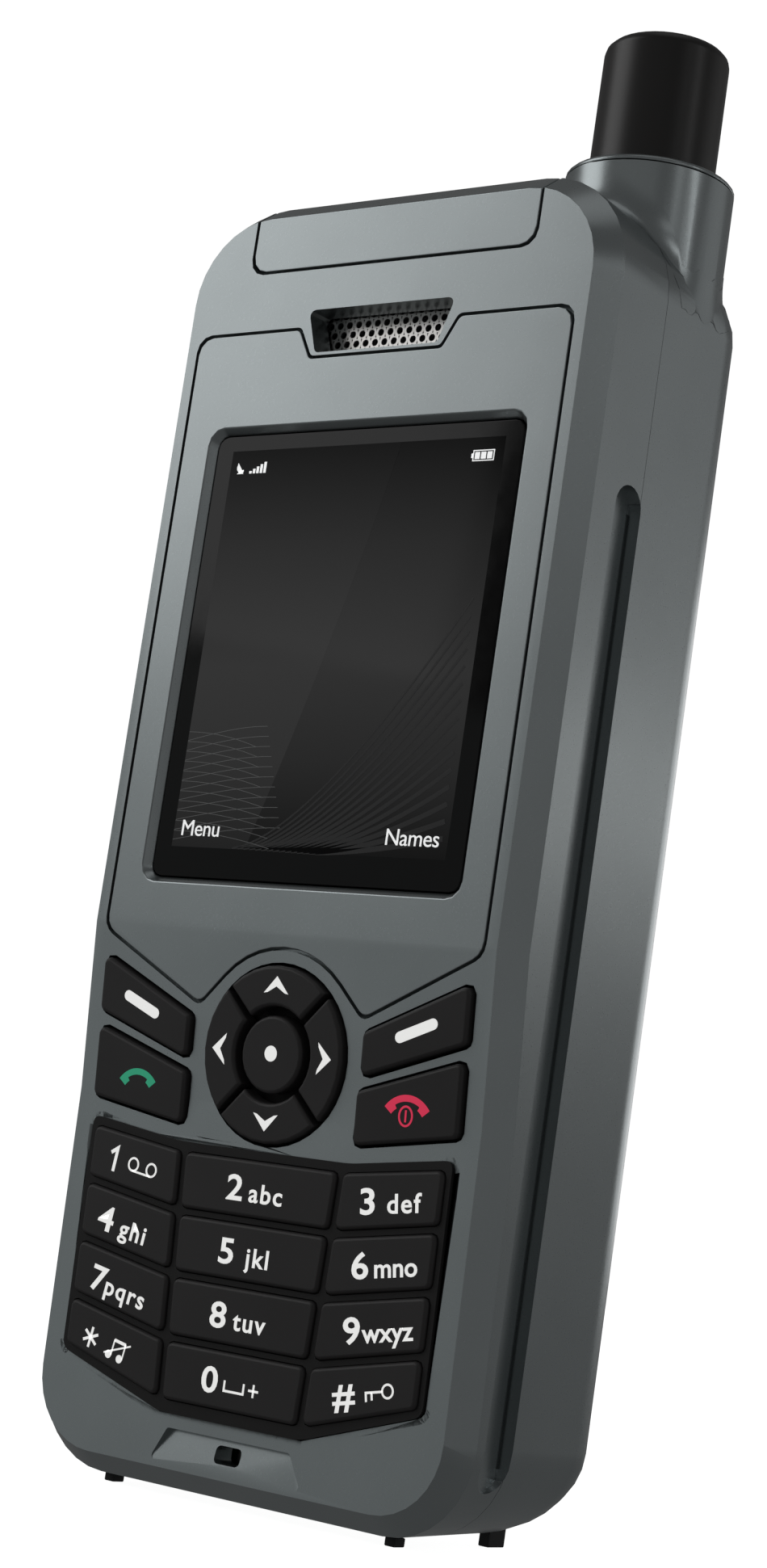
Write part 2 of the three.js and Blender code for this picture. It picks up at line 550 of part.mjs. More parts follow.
function rearHousing() {
  const inner = HALF_W - BODY.wall;
  const shell = join(cut(outerBody, slab(bodyOutline(-1), -1, PARTING + SEAM)), collar);
  const frontCavity = slab(bodyOutline(BODY.wall), 0, FLOOR.front);
  const upperCavity = slab(rounded([[-inner, COVER.top + 1.4], [inner, COVER.top + 1.4],
    [inner, UPPER_BAY.top, BODY.topR - BODY.wall], [-inner, UPPER_BAY.top, BODY.topR - BODY.wall]], 1, 6),
  FLOOR.front - 1, UPPER_BAY.back);
  const lockRoom = rounded(rectangle(UPPER_BAY.halfLow, UPPER_BAY.low, COVER.top + 4), 1);
  const lockCavity = slab(lockRoom, FLOOR.front - 1, UPPER_BAY.back);
  const collarCore = post(ANTENNA.x, ANTENNA.depth, GUIDE.r + 0.2, COVER.top - 2, COLLAR.rim + 2, 48);
  const collarFoot = post(ANTENNA.x, ANTENNA.depth, COLLAR.r, GUIDE.top + GAP, TOP, 48);
  const keepCollar = upperCavity.intersect(collarFoot);
  const hollow = join(cut(upperCavity, keepCollar), lockCavity);
  const bay = slab(rounded(rectangle(BAY.halfW, BAY.bottom, BAY.top), BAY.r), FLOOR.back, BODY.depth + 1);
  const coverEdge = grown(rectangle(COVER.halfW, COVER.bottom, COVER.top), GAP);
  const coverSeat = slab(rounded(coverEdge, COVER.r), COVER.rim - GAP, BODY.depth + 1);
  const guideRoom = collarCore.intersect(box(0, HALF_W, FLOOR.front, BODY.depth, COVER.top, GUIDE.top + GAP));
  const lockBoss = pin(0, LOCK.z, LOCK.bossR, LOCK.shankEnd - 1, UPPER_BAY.back + 0.5);
  const rearFace = BODY.depth + 1;
  const screwHoles = [
    ...BAY_SCREWS.map(([x, z]) => pin(x, z, SCREW.holeR, FLOOR.front - 1, FLOOR.back + 1)),
    ...BACK_SCREWS.map(([x, z]) => pin(x, z, SCREW.holeR, FLOOR.front, rearFace)),
    ...BACK_SCREWS.map(([x, z]) => pin(x, z, SCREW.pocketR, BODY.depth - SCREW.sink - 0.1, rearFace)),
  ];
  const shelled = join(cut(
    shell, frontCavity, hollow, guideRoom, antennaBore, bay, coverSeat, ...screwHoles, ...sideCuts(),
  ), lockBoss);
  return cut(shelled, pin(0, LOCK.z, LOCK.shankR + GAP, LOCK.shankEnd - 2, BODY.depth));
}

function batteryCover() {
  const outline = (shrink) =>
    rounded(grown(rectangle(COVER.halfW, COVER.bottom, COVER.top), -shrink), COVER.r - shrink);
  const tray = outerBody.intersect(slab(outline(0), COVER.rim, BODY.depth + 1));
  return cut(
    tray, slab(outline(COVER.wall), COVER.rim - 1, BODY.depth - COVER.wall),
    pin(0, LOCK.z, LOCK.sinkR, BODY.depth - LOCK.headT - GAP, BODY.depth + 1, 24),
    pin(0, LOCK.z, LOCK.shankR + GAP, COVER.rim, BODY.depth + 1, 16),
  );
}

function lockScrew() {
  const back = BODY.depth - 0.2;
  const head = pin(0, LOCK.z, LOCK.headR, back - LOCK.headT + 0.2, back, 32);
  const shank = pin(0, LOCK.z, LOCK.shankR, LOCK.shankEnd, back - LOCK.headT + 0.5, 16);
  const slot = box(-LOCK.headR - 1, LOCK.headR + 1, back - LOCK.slotD, back + 1, LOCK.z - LOCK.slotW / 2,
    LOCK.z + LOCK.slotW / 2);
  return cut(join(head, shank), slot);
}

// ---------- electronics and inner pieces ----------
function keypadMat() {
  const { halfW, lowHalfW, bottom, slant, top, back } = MAT;
  const right = [[lowHalfW, bottom], [halfW, bottom + slant], [halfW, top]];
  const layer = bentLayer(FRONT_T + GAP, back, true);
  const base = slab(rounded([...right, ...mirrored(right)], 0.8), 0, back + 1).intersect(layer);
  const pads = faceKeys.map(([, corners]) =>
    opening(navPanel, rounded(onPanel(navPanel, grown(corners, -GAP)), KEY_R, 2), -KEY.mat, -4));
  const navPad = opening(navPanel, round(NAV.outerR - GAP, 32), -KEY.mat, -4);
  const numberPad = opening(padPanel, rounded(onPanel(padPanel, grown(padCorners(), -GAP))), -KEY.mat, -3.6);
  return join(base, ...pads, navPad, numberPad);
}

function perforatedGrille() {
  const { halfTop, bottom, top, grille, grilleT, margin } = EARPIECE;
  const halfW = halfTop + margin;
  const plate = box(-halfW, halfW, grille, grille + grilleT, bottom - margin, top + margin);
  const { firstX, pitchX, shift, firstZ, pitchZ, r, count } = GRILLE_HOLES;
  const holes = [];
  for (let row = 0; row < 2; row++)
    for (let i = 0; i < count; i++)
      holes.push(pin(firstX + pitchX * i + shift * row, firstZ + pitchZ * row, r, grille - 1, grille + 1, 6));
  return cut(plate, ...holes);
}

function earpieceSpeaker() {
  const geometry = new THREE.CylinderGeometry(4.2, 4.2, 2.6, 24).scale(1.7, 1, 1);
  return solid(geometry.translate(0, at(5.4), (EARPIECE.top + EARPIECE.bottom) / 2));
}

function mainBoard() {
  const holes = caseScrews.map(([x, z]) => pin(x, z, SCREW.holeR, BOARD.front - 1, BOARD.back + 1));
  const outline = rounded(rectangle(BOARD.halfW, BOARD.bottom, BOARD.top), BOARD.cornerR);
  return cut(slab(outline, BOARD.front, BOARD.back), ...holes);
}

const microphone = () => pin(0, MIC.z, MIC.capsuleR, MIC.front, BOARD.front - GAP, 20);

function simHolder() {
  const { x, z, cardW, cardH, holderW, holderH, holderT } = SIM;
  const [front, low, halfSlot] = [FLOOR.back + GAP, z - cardH / 2, cardW / 2 + GAP];
  const block = box(x - holderW / 2, x + holderW / 2, front, front + holderT, low, low + holderH);
  const slotBack = front + SIM.floor + SIM.cardT + 2 * GAP;
  const slot = box(x - halfSlot, x + halfSlot, front + SIM.floor, slotBack, low + SIM.lip, z + cardH);
  const finger = box(x - SIM.fingerW, x + SIM.fingerW, front + SIM.floor, front + 4, low + 4, z + cardH);
  return cut(block, slot, finger);
}

function simCard() {
  const { x, z, cardW, cardH, cardT } = SIM;
  const front = FLOOR.back + 2 * GAP + SIM.floor;
  const [left, right] = [x - cardW / 2, x + cardW / 2];
  const [low, high] = [z - cardH / 2 + SIM.lip + GAP, z + cardH / 2 - 0.5];
  const corners = [
    [left, low, 0.8], [right, low, 0.8], [right, high - SIM.notch, 0], [right - SIM.notch, high, 0],
    [left, high, 0.8],
  ];
  return slab(rounded(corners), front, front + cardT);
}

function batteryContacts() {
  const { halfW, bottom, top, front, back } = CONTACTS;
  const block = box(-halfW, halfW, front, back, bottom, top);
  const slots = [-4, 0, 4].map((x) => box(x - 0.9, x + 0.9, front + 1.2, back + 1, top - 1.6, top + 1));
  return cut(block, ...slots);
}

function usbSocket() {
  const [z, x0] = [USB.z, -HALF_W + BODY.wall + GAP];
  const [halfH, halfW] = [USB.h / 2, USB.w / 2];
  const shell = box(x0, x0 + USB.deep, PORT_DEPTH - halfH, PORT_DEPTH + halfH, z - halfW, z + halfW);
  const mouth = box(x0 - 1, x0 + USB.deep - 1, PORT_DEPTH - USB.slotH / 2, PORT_DEPTH + USB.slotH / 2,
    z - USB.slotW / 2, z + USB.slotW / 2);
  const tongue = box(x0 + 1, x0 + USB.deep - 0.5, PORT_DEPTH - 0.3, PORT_DEPTH + 0.3, z - 1.9, z + 1.9);
  return join(cut(shell, mouth), tongue);
}

function headsetJack() {
  const [z, x0] = [JACK.z, -HALF_W + BODY.wall + GAP];
  const [halfH, halfW] = [JACK.h / 2, JACK.w / 2];
  const shell = box(x0, x0 + JACK.deep, PORT_DEPTH - halfH, PORT_DEPTH + halfH, z - halfW, z + halfW);
  const bore = new THREE.CylinderGeometry(JACK.r, JACK.r, JACK.deep, 20).rotateZ(Math.PI / 2);
  return cut(shell, solid(bore.translate(x0 + JACK.deep / 2 - 1, at(PORT_DEPTH), z)));
}

/** A pan-head screw along Y with a cross slot, its head towards the back. */
function caseScrew(x, z, headFront, tip) {
  const headBack = headFront + SCREW.headT;
  const shank = pin(x, z, SCREW.shankR, tip, headFront + 0.2, 12);
  const body = join(pin(x, z, SCREW.headR, headFront, headBack), shank);
  const slot = (halfX, halfZ) =>
    box(x - halfX, x + halfX, headBack - SCREW.crossD, headBack + 1, z - halfZ, z + halfZ);
  return cut(body, slot(SCREW.crossL, SCREW.crossW), slot(SCREW.crossW, SCREW.crossL));
}

// ---------- antenna ----------
function turned(profile, sides = 40) {
  const points = profile.map(([r, z]) => new THREE.Vector2(r, z));
  return new THREE.LatheGeometry(points, sides).rotateX(Math.PI / 2);
}

function radome() {
  const { r, top, bottom, wall, crown, capR } = ANTENNA;
  const cap = [0, 30, 60, 90].map(THREE.MathUtils.degToRad);
  const rim = cap.map((a) => [r - capR + capR * Math.cos(a), top - capR + capR * Math.sin(a)]);
  const [inner, ceiling, mouth] = [r - wall, top - crown, bottom + STOP.height + GAP];
  return turned([[0, ceiling], [inner, ceiling], [inner, mouth], [r, mouth], ...rim, [0, top]]);
}

function antennaCore() {
  const { top, bottom, r, wall, crown } = ANTENNA;
  const radius = r - wall - GAP;
  const [low, high] = [bottom + STOP.height + 2 * GAP, top - crown - 2 * GAP];
  return turned([[0, low], [radius, low], [radius, high], [0, high]], 24);
}

function antennaBase() {
  const { bottom } = ANTENNA;
  return turned([[0, bottom], [STOP.r - 0.6, bottom], [STOP.r, bottom + 0.6], [STOP.r, bottom + STOP.height],
    [0, bottom + STOP.height]], 32);
}

function antennaGuide() {
  const { bottom, top, r } = GUIDE;
  const floor = bottom + GUIDE.floor;
  return turned([[0, bottom], [r, bottom], [r, top], [ANTENNA.bore, top], [ANTENNA.bore, floor], [0, floor]]);
}

function collarRing() {
  const { r, rim, ringH, ringBore, edge } = COLLAR;
  const [foot, shoulder] = [rim - ringH, rim - edge];
  return turned([[ringBore, foot], [r, foot], [r, shoulder], [r - edge, rim], [ringBore + edge, rim],
    [ringBore, shoulder], [ringBore, foot]]);
}

// ---------- assembly ----------
const phone = new THREE.Group();

function add(name, made, material, parent = phone) {
  const mesh = new THREE.Mesh(made.isBufferGeometry ? made : geometryOf(made), MATERIAL[material]);
  mesh.name = name;
  parent.add(mesh);
  return mesh;
}

add("front_housing", frontHousing(), "paint");
add("rear_housing", rearHousing(), "paint");
add("display_bezel", bezel(), "paint");
add("top_insert", topInsert(), "paint");
const glassShape = rounded(rectangle(WINDOW.halfW, WINDOW.bottom, WINDOW.top), WINDOW.r);
add("display_window", slab(glassShape, WINDOW.front, WINDOW.front + WINDOW.thick), "glass");
add("lcd_module", box(-LCD.halfW, LCD.halfW, LCD.front, LCD.back, LCD.bottom, LCD.top), "lcd");
add("earpiece_grille", perforatedGrille(), "steel");
add("earpiece_speaker", earpieceSpeaker(), "black");
add("microphone", microphone(), "steel");

phone.add(navPanel.group, padPanel.group);
faceKeys.forEach(([name, corners]) =>
  add(name, keyCap(keyOnPanel(navPanel, corners)), "key", navPanel.group));
PETALS.forEach(([name, quarter]) => add(name, keyCap(petal((quarter * Math.PI) / 2)), "key", navPanel.group));
add("select_key", keyCap(round(NAV.selectR, 28)), "key", navPanel.group);
DIGITS.forEach((digit, i) => {
  const corners = numberKeyCorners(Math.floor(i / 3), (i % 3) - 1);
  add(`key_${digit}`, keyCap(keyOnPanel(padPanel, corners)), "key", padPanel.group);
});

add("keypad_mat", keypadMat(), "rubber");
const domeShape = rounded([[-21, 13], [-12, 8.5], [12, 8.5], [21, 13], [21, 52], [-21, 52]], 1);
add("dome_sheet", slab(domeShape, DOMES.front, DOMES.back), "steel");
add("main_board", mainBoard(), "board");
add("shield_can", box(-14, 7, BOARD.back + GAP, BOARD.back + 2.6, 86.8, 102.8), "steel");
add("vibration_motor", pin(-9, 112, 4.5, BOARD.back + GAP, BOARD.back + 3.6, 24), "steel");

const batteryShape = rounded(rectangle(BATTERY.halfW, BATTERY.bottom, BATTERY.top), BATTERY.r);
add("battery", slab(batteryShape, BATTERY.front, BATTERY.back), "label");
add("battery_contacts", batteryContacts(), "gold");
add("sim_holder", simHolder(), "steel");
add("sim_card", simCard(), "card");
add("battery_cover", batteryCover(), "paint");
add("cover_lock_screw", lockScrew(), "steel");

add("port_cover", portSlab(0, -HALF_W, -HALF_W + PORT.thick), "rubber");
add("usb_socket", usbSocket(), "steel");
add("headset_jack", headsetJack(), "black");

const antenna = new THREE.Group();
antenna.position.set(ANTENNA.x, at(ANTENNA.depth), 0);
phone.add(antenna);
add("antenna_radome", radome(), "black", antenna);
add("antenna_core", antennaCore(), "ceramic", antenna);
add("antenna_base", antennaBase(), "gold", antenna);
add("antenna_guide", antennaGuide(), "black", antenna);
add("collar_ring", collarRing(), "paint", antenna);

BAY_SCREWS.forEach(([x, z], i) =>
  add(`bay_screw_${i + 1}`, caseScrew(x, z, FLOOR.back + 0.1, BOARD.front - 3), "steel"));
BACK_SCREWS.forEach(([x, z], i) =>
  add(`back_screw_${i + 1}`, caseScrew(x, z, BODY.depth - SCREW.sink, BOARD.front - 3), "steel"));

for (const row of ["front", "rear"])
  for (const [side, sign] of [["left", -1], ["right", 1]]) {
    const [front, back] = FEET[row];
    const x = sign * FEET.x;
    const top = underside(front) - FEET.gap;
    add(`foot_${row}_${side}`, box(x - FEET.width / 2, x + FEET.width / 2, front, back, 0, top), "rubber");
  }

export default phone;
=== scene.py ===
"""Looks of the satellite phone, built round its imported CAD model. Metres, +Z up, display towards -Y."""

import json
import math

import bmesh
import bpy
from mathutils import Matrix, Vector
from mathutils.bvhtree import BVHTree
from mathutils.geometry import convex_hull_2d


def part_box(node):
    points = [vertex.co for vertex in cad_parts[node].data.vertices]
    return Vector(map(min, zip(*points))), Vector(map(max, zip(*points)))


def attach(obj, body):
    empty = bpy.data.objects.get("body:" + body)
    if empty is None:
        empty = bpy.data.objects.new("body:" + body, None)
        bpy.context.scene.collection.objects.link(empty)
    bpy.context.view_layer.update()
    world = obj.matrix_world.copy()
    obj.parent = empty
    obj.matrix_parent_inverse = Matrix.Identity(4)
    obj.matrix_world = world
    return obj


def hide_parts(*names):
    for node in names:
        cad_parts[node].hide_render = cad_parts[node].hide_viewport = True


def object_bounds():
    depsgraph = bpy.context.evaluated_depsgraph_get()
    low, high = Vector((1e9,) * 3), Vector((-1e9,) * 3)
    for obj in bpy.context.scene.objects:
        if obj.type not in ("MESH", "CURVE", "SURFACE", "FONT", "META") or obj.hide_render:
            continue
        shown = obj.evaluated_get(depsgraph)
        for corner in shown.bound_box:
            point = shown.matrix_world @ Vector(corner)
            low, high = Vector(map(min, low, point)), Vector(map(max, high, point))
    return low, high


MM = 0.001
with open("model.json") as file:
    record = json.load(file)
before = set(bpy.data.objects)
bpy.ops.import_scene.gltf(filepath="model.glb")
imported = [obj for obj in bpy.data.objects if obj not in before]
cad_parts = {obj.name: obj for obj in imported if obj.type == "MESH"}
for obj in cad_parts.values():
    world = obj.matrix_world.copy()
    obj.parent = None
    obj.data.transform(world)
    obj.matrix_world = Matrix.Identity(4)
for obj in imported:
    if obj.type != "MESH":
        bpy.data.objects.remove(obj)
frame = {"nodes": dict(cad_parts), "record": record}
cad_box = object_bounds()
nodes = frame["nodes"]
scene = bpy.context.scene

# ---------- places taken from the frame ----------
COLLAR_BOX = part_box("collar_ring")
COLLAR_X = (COLLAR_BOX[0].x + COLLAR_BOX[1].x) / 2
COLLAR_Y = (COLLAR_BOX[0].y + COLLAR_BOX[1].y) / 2
COLLAR_R = (COLLAR_BOX[1].x - COLLAR_BOX[0].x) / 2
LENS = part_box("display_window")
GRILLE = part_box("earpiece_grille")
NAV_CENTRE = (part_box("select_key")[0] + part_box("select_key")[1]) / 2

# How far a print stands proud of its surface, and how deep it reaches into it, in mm.
PRINT_HIGH, PRINT_SUNK = 0.02, 0.05
SCREEN_LAYER = 0.012  # distance between the layers of the picture on the lens, in mm


# ---------- camera ----------
def add_camera():
    """The photograph's camera: low in front, to the phone's right, looking up a little and rolled."""
    data = bpy.data.cameras.new("camera")
    data.lens = 66.85
    data.sensor_width = 36
    data.clip_start = 0.01
    data.clip_end = 20
    camera = bpy.data.objects.new("camera", data)
    scene.collection.objects.link(camera)
    right = Vector((0.790089, 0.595736, 0.144420))
    up = Vector((-0.025232, -0.203793, 0.978689))
    back = Vector((0.612472, -0.776896, -0.145983))
    turn = Matrix((right, up, back)).transposed().to_4x4()
    camera.matrix_world = Matrix.Translation(Vector((176.23, -225.40, 28.94)) * MM) @ turn
    scene.camera = camera


# ---------- mesh helpers ----------
def finish_mesh(name, made, material, smooth=False):
    bmesh.ops.recalc_face_normals(made, faces=made.faces)
    mesh = bpy.data.meshes.new(name)
    made.to_mesh(mesh)
    made.free()
    mesh.materials.append(material)
    for face in mesh.polygons:
        face.use_smooth = smooth
    obj = bpy.data.objects.new(name, mesh)
    scene.collection.objects.link(obj)
    return obj


def join_rings(made, rings):
    """Walls between neighbouring closed rings of vertices."""
    for low, high in zip(rings, rings[1:]):
        for i in range(len(low)):
            j = (i + 1) % len(low)
            made.faces.new((low[i], low[j], high[j], high[i]))


# ---------- stage and light ----------
def add_stage(material):
    """A round pale floor that curves up into a wall on all sides."""
    floor_r, bend, height, around, steps = 1.6, 0.9, 3.2, 64, 16
    profile = [(0.0, 0.0), (0.4, 0.0), (floor_r, 0.0)]
    for k in range(1, steps + 1):
        turn = math.pi / 2 * k / steps
        profile.append((floor_r + bend * math.sin(turn), bend * (1 - math.cos(turn))))
    profile.append((floor_r + bend, height))
    made = bmesh.new()
    rings = []
    for radius, z in profile[1:]:
        angles = [2 * math.pi * k / around for k in range(around)]
        rings.append([made.verts.new((radius * math.cos(a), radius * math.sin(a), z)) for a in angles])
    made.faces.new(rings[0])
    join_rings(made, rings)
    floor = finish_mesh("floor", made, material, smooth=True)
    floor.visible_glossy = False
    floor.visible_diffuse = False


def add_area_light(name, place, target, size, power, color=(1, 1, 1)):
    data = bpy.data.lights.new(name, "AREA")
    data.shape = "RECTANGLE"
    data.size, data.size_y = size
    data.energy = power
    data.color = color
    light = bpy.data.objects.new(name, data)
    light.location = place
    light.rotation_euler = (Vector(target) - Vector(place)).to_track_quat("-Z", "Y").to_euler()
    scene.collection.objects.link(light)


def add_world(brightness):
    world = bpy.data.worlds.new("studio")
    world.use_nodes = True
    background = world.node_tree.nodes["Background"]
    background.inputs["Color"].default_value = (1, 1, 1, 1)
    background.inputs["Strength"].default_value = brightness
    scene.world = world


# ---------- materials ----------
RAMP_SPAN = (0.3, 0.7)  # the values of a noise between which its colour changes


class Nodes:
    """A short way to build a material's node tree."""

    def __init__(self, name):
        self.material = bpy.data.materials.new(name)
        self.material.use_nodes = True
        self.tree = self.material.node_tree
        self.shader = self.tree.nodes["Principled BSDF"]

    def add(self, kind):
        return self.tree.nodes.new(kind)

    def link(self, source, target):
        self.tree.links.new(source, target)

    def set(self, **values):
        for key, value in values.items():
            self.shader.inputs[key.replace("_", " ")].default_value = value

    def place(self):
        return self.add("ShaderNodeTexCoord").outputs["Object"]

    def noise(self, scale, detail, roughness=0.55):
        node = self.add("ShaderNodeTexNoise")
        node.inputs["Scale"].default_value = scale
        node.inputs["Detail"].default_value = detail
        node.inputs["Roughness"].default_value = roughness
        self.link(self.place(), node.inputs["Vector"])
        return node.outputs["Fac"]

    def ramp(self, source, low, high):
        """A colour that goes from low to high over the middle of a noise's range."""
        node = self.add("ShaderNodeValToRGB")
        for stop, position, color in zip(node.color_ramp.elements, RAMP_SPAN, (low, high)):
            stop.position = position
            stop.color = (*color, 1)
        self.link(source, node.inputs["Fac"])
        return node.outputs["Color"]

    def span(self, source, low, high):
        node = self.add("ShaderNodeMapRange")
        node.inputs["To Min"].default_value = low
        node.inputs["To Max"].default_value = high
        self.link(source, node.inputs["Value"])
        return node.outputs["Result"]

    def bump(self, height, distance):
        node = self.add("ShaderNodeBump")
        node.inputs["Distance"].default_value = distance
        node.inputs["Strength"].default_value = 1.0
        self.link(height, node.inputs["Height"])
        return node.outputs["Normal"]


def scaled(color, factor):
    return tuple(min(1.0, channel * factor) for channel in color)


def grained(name, color, roughness, grain, depth, variation=0.06, metallic=0.0, specular=0.5, uneven=0.05):
    """Moulded or painted stuff: fine surface grain, slight cloudiness in colour and in roughness."""
    made = Nodes(name)
    cloud = made.noise(90.0, 2.0)
    tint = made.ramp(cloud, scaled(color, 1 - variation), scaled(color, 1 + variation))
    made.link(tint, made.shader.inputs["Base Color"])
    fine = made.noise(grain, 4.0, 0.6)
    made.link(made.span(fine, roughness - uneven, roughness + uneven), made.shader.inputs["Roughness"])
    made.link(made.bump(fine, depth), made.shader.inputs["Normal"])
    made.set(Metallic=metallic, Specular_IOR_Level=specular)
    return made.material


def glowing(name, color, glow, roughness=0.5):
    """A print or a fine line on the display. Most of its brightness is light of its own: on the display that
    is the display's own light, and on the key prints it is a painted glow that keeps them bright in the
    shade.
    """
    made = Nodes(name)
    fine = made.noise(4200, 2.0)
    made.link(made.ramp(fine, scaled(color, 0.97), scaled(color, 1.03)), made.shader.inputs["Base Color"])
    made.set(Roughness=roughness, Emission_Color=(*color, 1), Emission_Strength=glow)
    return made.material


def picture(name, low_z, high_z, tones):
    """The lit display, or the painted reflection laid over it: a grey that is lightest in the middle. Each
    tone stands at a share of the height.
    """
    made = Nodes(name)
    height = made.add("ShaderNodeSeparateXYZ")
    made.link(made.place(), height.inputs["Vector"])
    share = made.add("ShaderNodeMapRange")
    share.inputs["From Min"].default_value = low_z
    share.inputs["From Max"].default_value = high_z
    made.link(height.outputs["Z"], share.inputs["Value"])
    ramp = made.add("ShaderNodeValToRGB")
    stops = ramp.color_ramp.elements
    for position, tone in tones[1:-1]:
        stops.new(position).color = (tone, tone, tone, 1)
    for stop, (position, tone) in ((stops[0], tones[0]), (stops[-1], tones[-1])):
        stop.position = position
        stop.color = (tone, tone, tone, 1)
    made.link(share.outputs["Result"], ramp.inputs["Fac"])
    made.link(ramp.outputs["Color"], made.shader.inputs["Emission Color"])
    made.set(Base_Color=(0.003, 0.003, 0.003, 1), Roughness=0.06, Specular_IOR_Level=0.05)
    made.set(Emission_Strength=1.0)
    return made.material


SCREEN_LOW, SCREEN_HIGH = 62.0, 102.6  # height of the lit picture, in mm
PICTURE_TONES = ((0.0, 0.006), (0.22, 0.019), (0.45, 0.028), (0.75, 0.015), (1.0, 0.0005))
# Lighter tones for the painted reflection laid over the left of the picture on the lens.
PAINTED_SHEEN_TONES = ((0.0, 0.014), (0.22, 0.027), (0.45, 0.032), (0.75, 0.017), (1.0, 0.0012))


def make_materials():
    paint = (0.345, 0.378, 0.385)
    return {
        "paint": grained("satin_paint", paint, 0.28, 5200, 0.0000004, 0.03, metallic=0.86, uneven=0.02),
        "key": grained("key_plastic", (0.036, 0.0338, 0.0342), 0.5, 4200, 0.000005, 0.08, specular=0.4),
        "mat": grained("keypad_rubber", (0.022, 0.021, 0.021), 0.6, 3000, 0.000006, 0.1, specular=0.3),
        "antenna": grained("antenna_plastic", (0.0125, 0.0112, 0.0105), 0.36, 4500, 0.0000025, 0.06),
        "foot": grained("foot_rubber", (0.020, 0.021, 0.022), 0.6, 3000, 0.000006, 0.1, specular=0.35),
        "port": grained("port_rubber", (0.030, 0.032, 0.033), 0.62, 2600, 0.00001, 0.1, specular=0.35),
        "glass": grained("dark_lens", (0.0022, 0.0022, 0.0023), 0.07, 300, 0.0, 0.02, specular=0.2),
        "steel": grained("brushed_steel", (0.72, 0.71, 0.69), 0.34, 2600, 0.000003, 0.05, metallic=1.0),
        "screw": grained("screw_steel", (0.42, 0.41, 0.40), 0.36, 2600, 0.000004, 0.08, metallic=1.0),
        "black": grained("black_plastic", (0.018, 0.018, 0.019), 0.5, 2600, 0.000006, 0.1),
        "board": grained("solder_mask", (0.02, 0.11, 0.05), 0.35, 900, 0.00001, 0.2),
        "gold": grained("gold_plate", (0.83, 0.60, 0.26), 0.28, 2600, 0.000003, 0.05, metallic=1.0),
        "label": grained("battery_label", (0.045, 0.05, 0.06), 0.5, 1500, 0.000006, 0.06),
        "card": grained("card_plastic", (0.78, 0.79, 0.80), 0.42, 1500, 0.000004, 0.03),
        "former": grained("moulded_former", (0.66, 0.62, 0.54), 0.55, 1500, 0.00001, 0.05),
        "lcd": grained("display_module", (0.03, 0.03, 0.033), 0.3, 1500, 0.000002, 0.05),
        # The white, green and red key prints glow with painted light, so that they stay bright in the shade.
        "white": glowing("white_print_painted_glow", (0.86, 0.86, 0.845), 0.68),
        "green": glowing("green_print_painted_glow", (0.026, 0.30, 0.165), 0.62),
        "red": glowing("red_print_painted_glow", (0.62, 0.030, 0.078), 0.68),
        "icon": glowing("lit_icon", (0.86, 0.87, 0.87), 0.72, 0.08),
        "picture": picture("display_picture", SCREEN_LOW * MM, SCREEN_HIGH * MM, PICTURE_TONES),
        "line": glowing("display_line", (0.0028, 0.0028, 0.0029), 1.0, 0.5),
        "weave": glowing("display_weave", (0.05, 0.051, 0.051), 0.9, 0.5),
        # a painted reflection: a lighter copy of the picture for the left of the lens
        "sheen": picture("display_painted_sheen", SCREEN_LOW * MM, SCREEN_HIGH * MM, PAINTED_SHEEN_TONES),
        "floor": pale_stage(),
    }


def pale_stage():
    """A pale floor that gives off nearly all of its light itself, so that it is evenly white."""
    made = Nodes("pale_floor")
    cloud = made.noise(3.0, 2.0)
    made.link(made.ramp(cloud, (0.60, 0.60, 0.60), (0.62, 0.62, 0.62)), made.shader.inputs["Base Color"])
    made.set(Roughness=0.8, Specular_IOR_Level=0.1, Emission_Color=(1, 1, 1, 1), Emission_Strength=0.95)
    return made.material


SLOT_FINISH = {
    "housing_paint": "paint", "window_glass": "glass", "lcd": "lcd", "grille_steel": "steel",
    "key_plastic": "key", "mat_rubber": "mat", "foot_rubber": "foot", "port_rubber": "port",
    "antenna_plastic": "antenna",
    "antenna_former": "former", "antenna_brass": "gold", "board_laminate": "board", "dome_steel": "steel",
    "shield_steel": "steel", "speaker_black": "black", "socket_steel": "steel", "contact_brass": "gold",
    "battery_label": "label", "card_plastic": "card", "screw_steel": "screw",
}


def dress(node, material):
    mesh = nodes[node].data
    if not mesh.materials:
        mesh.materials.append(material)
    for slot in nodes[node].material_slots:
        slot.link = "OBJECT"
        slot.material = material


# ---------- softer edges on the CAD nodes ----------
WELD_GAP = 0.000002  # vertices closer than this are one, in metres
FLAT_ANGLE = math.radians(0.4)  # faces that differ by less are one flat face
SHARP_ANGLE = math.radians(28)  # edges that bend more are rounded
SMOOTH_ANGLE = math.radians(34)  # edges that bend less are shaded smooth
BEVEL_STEPS = 2


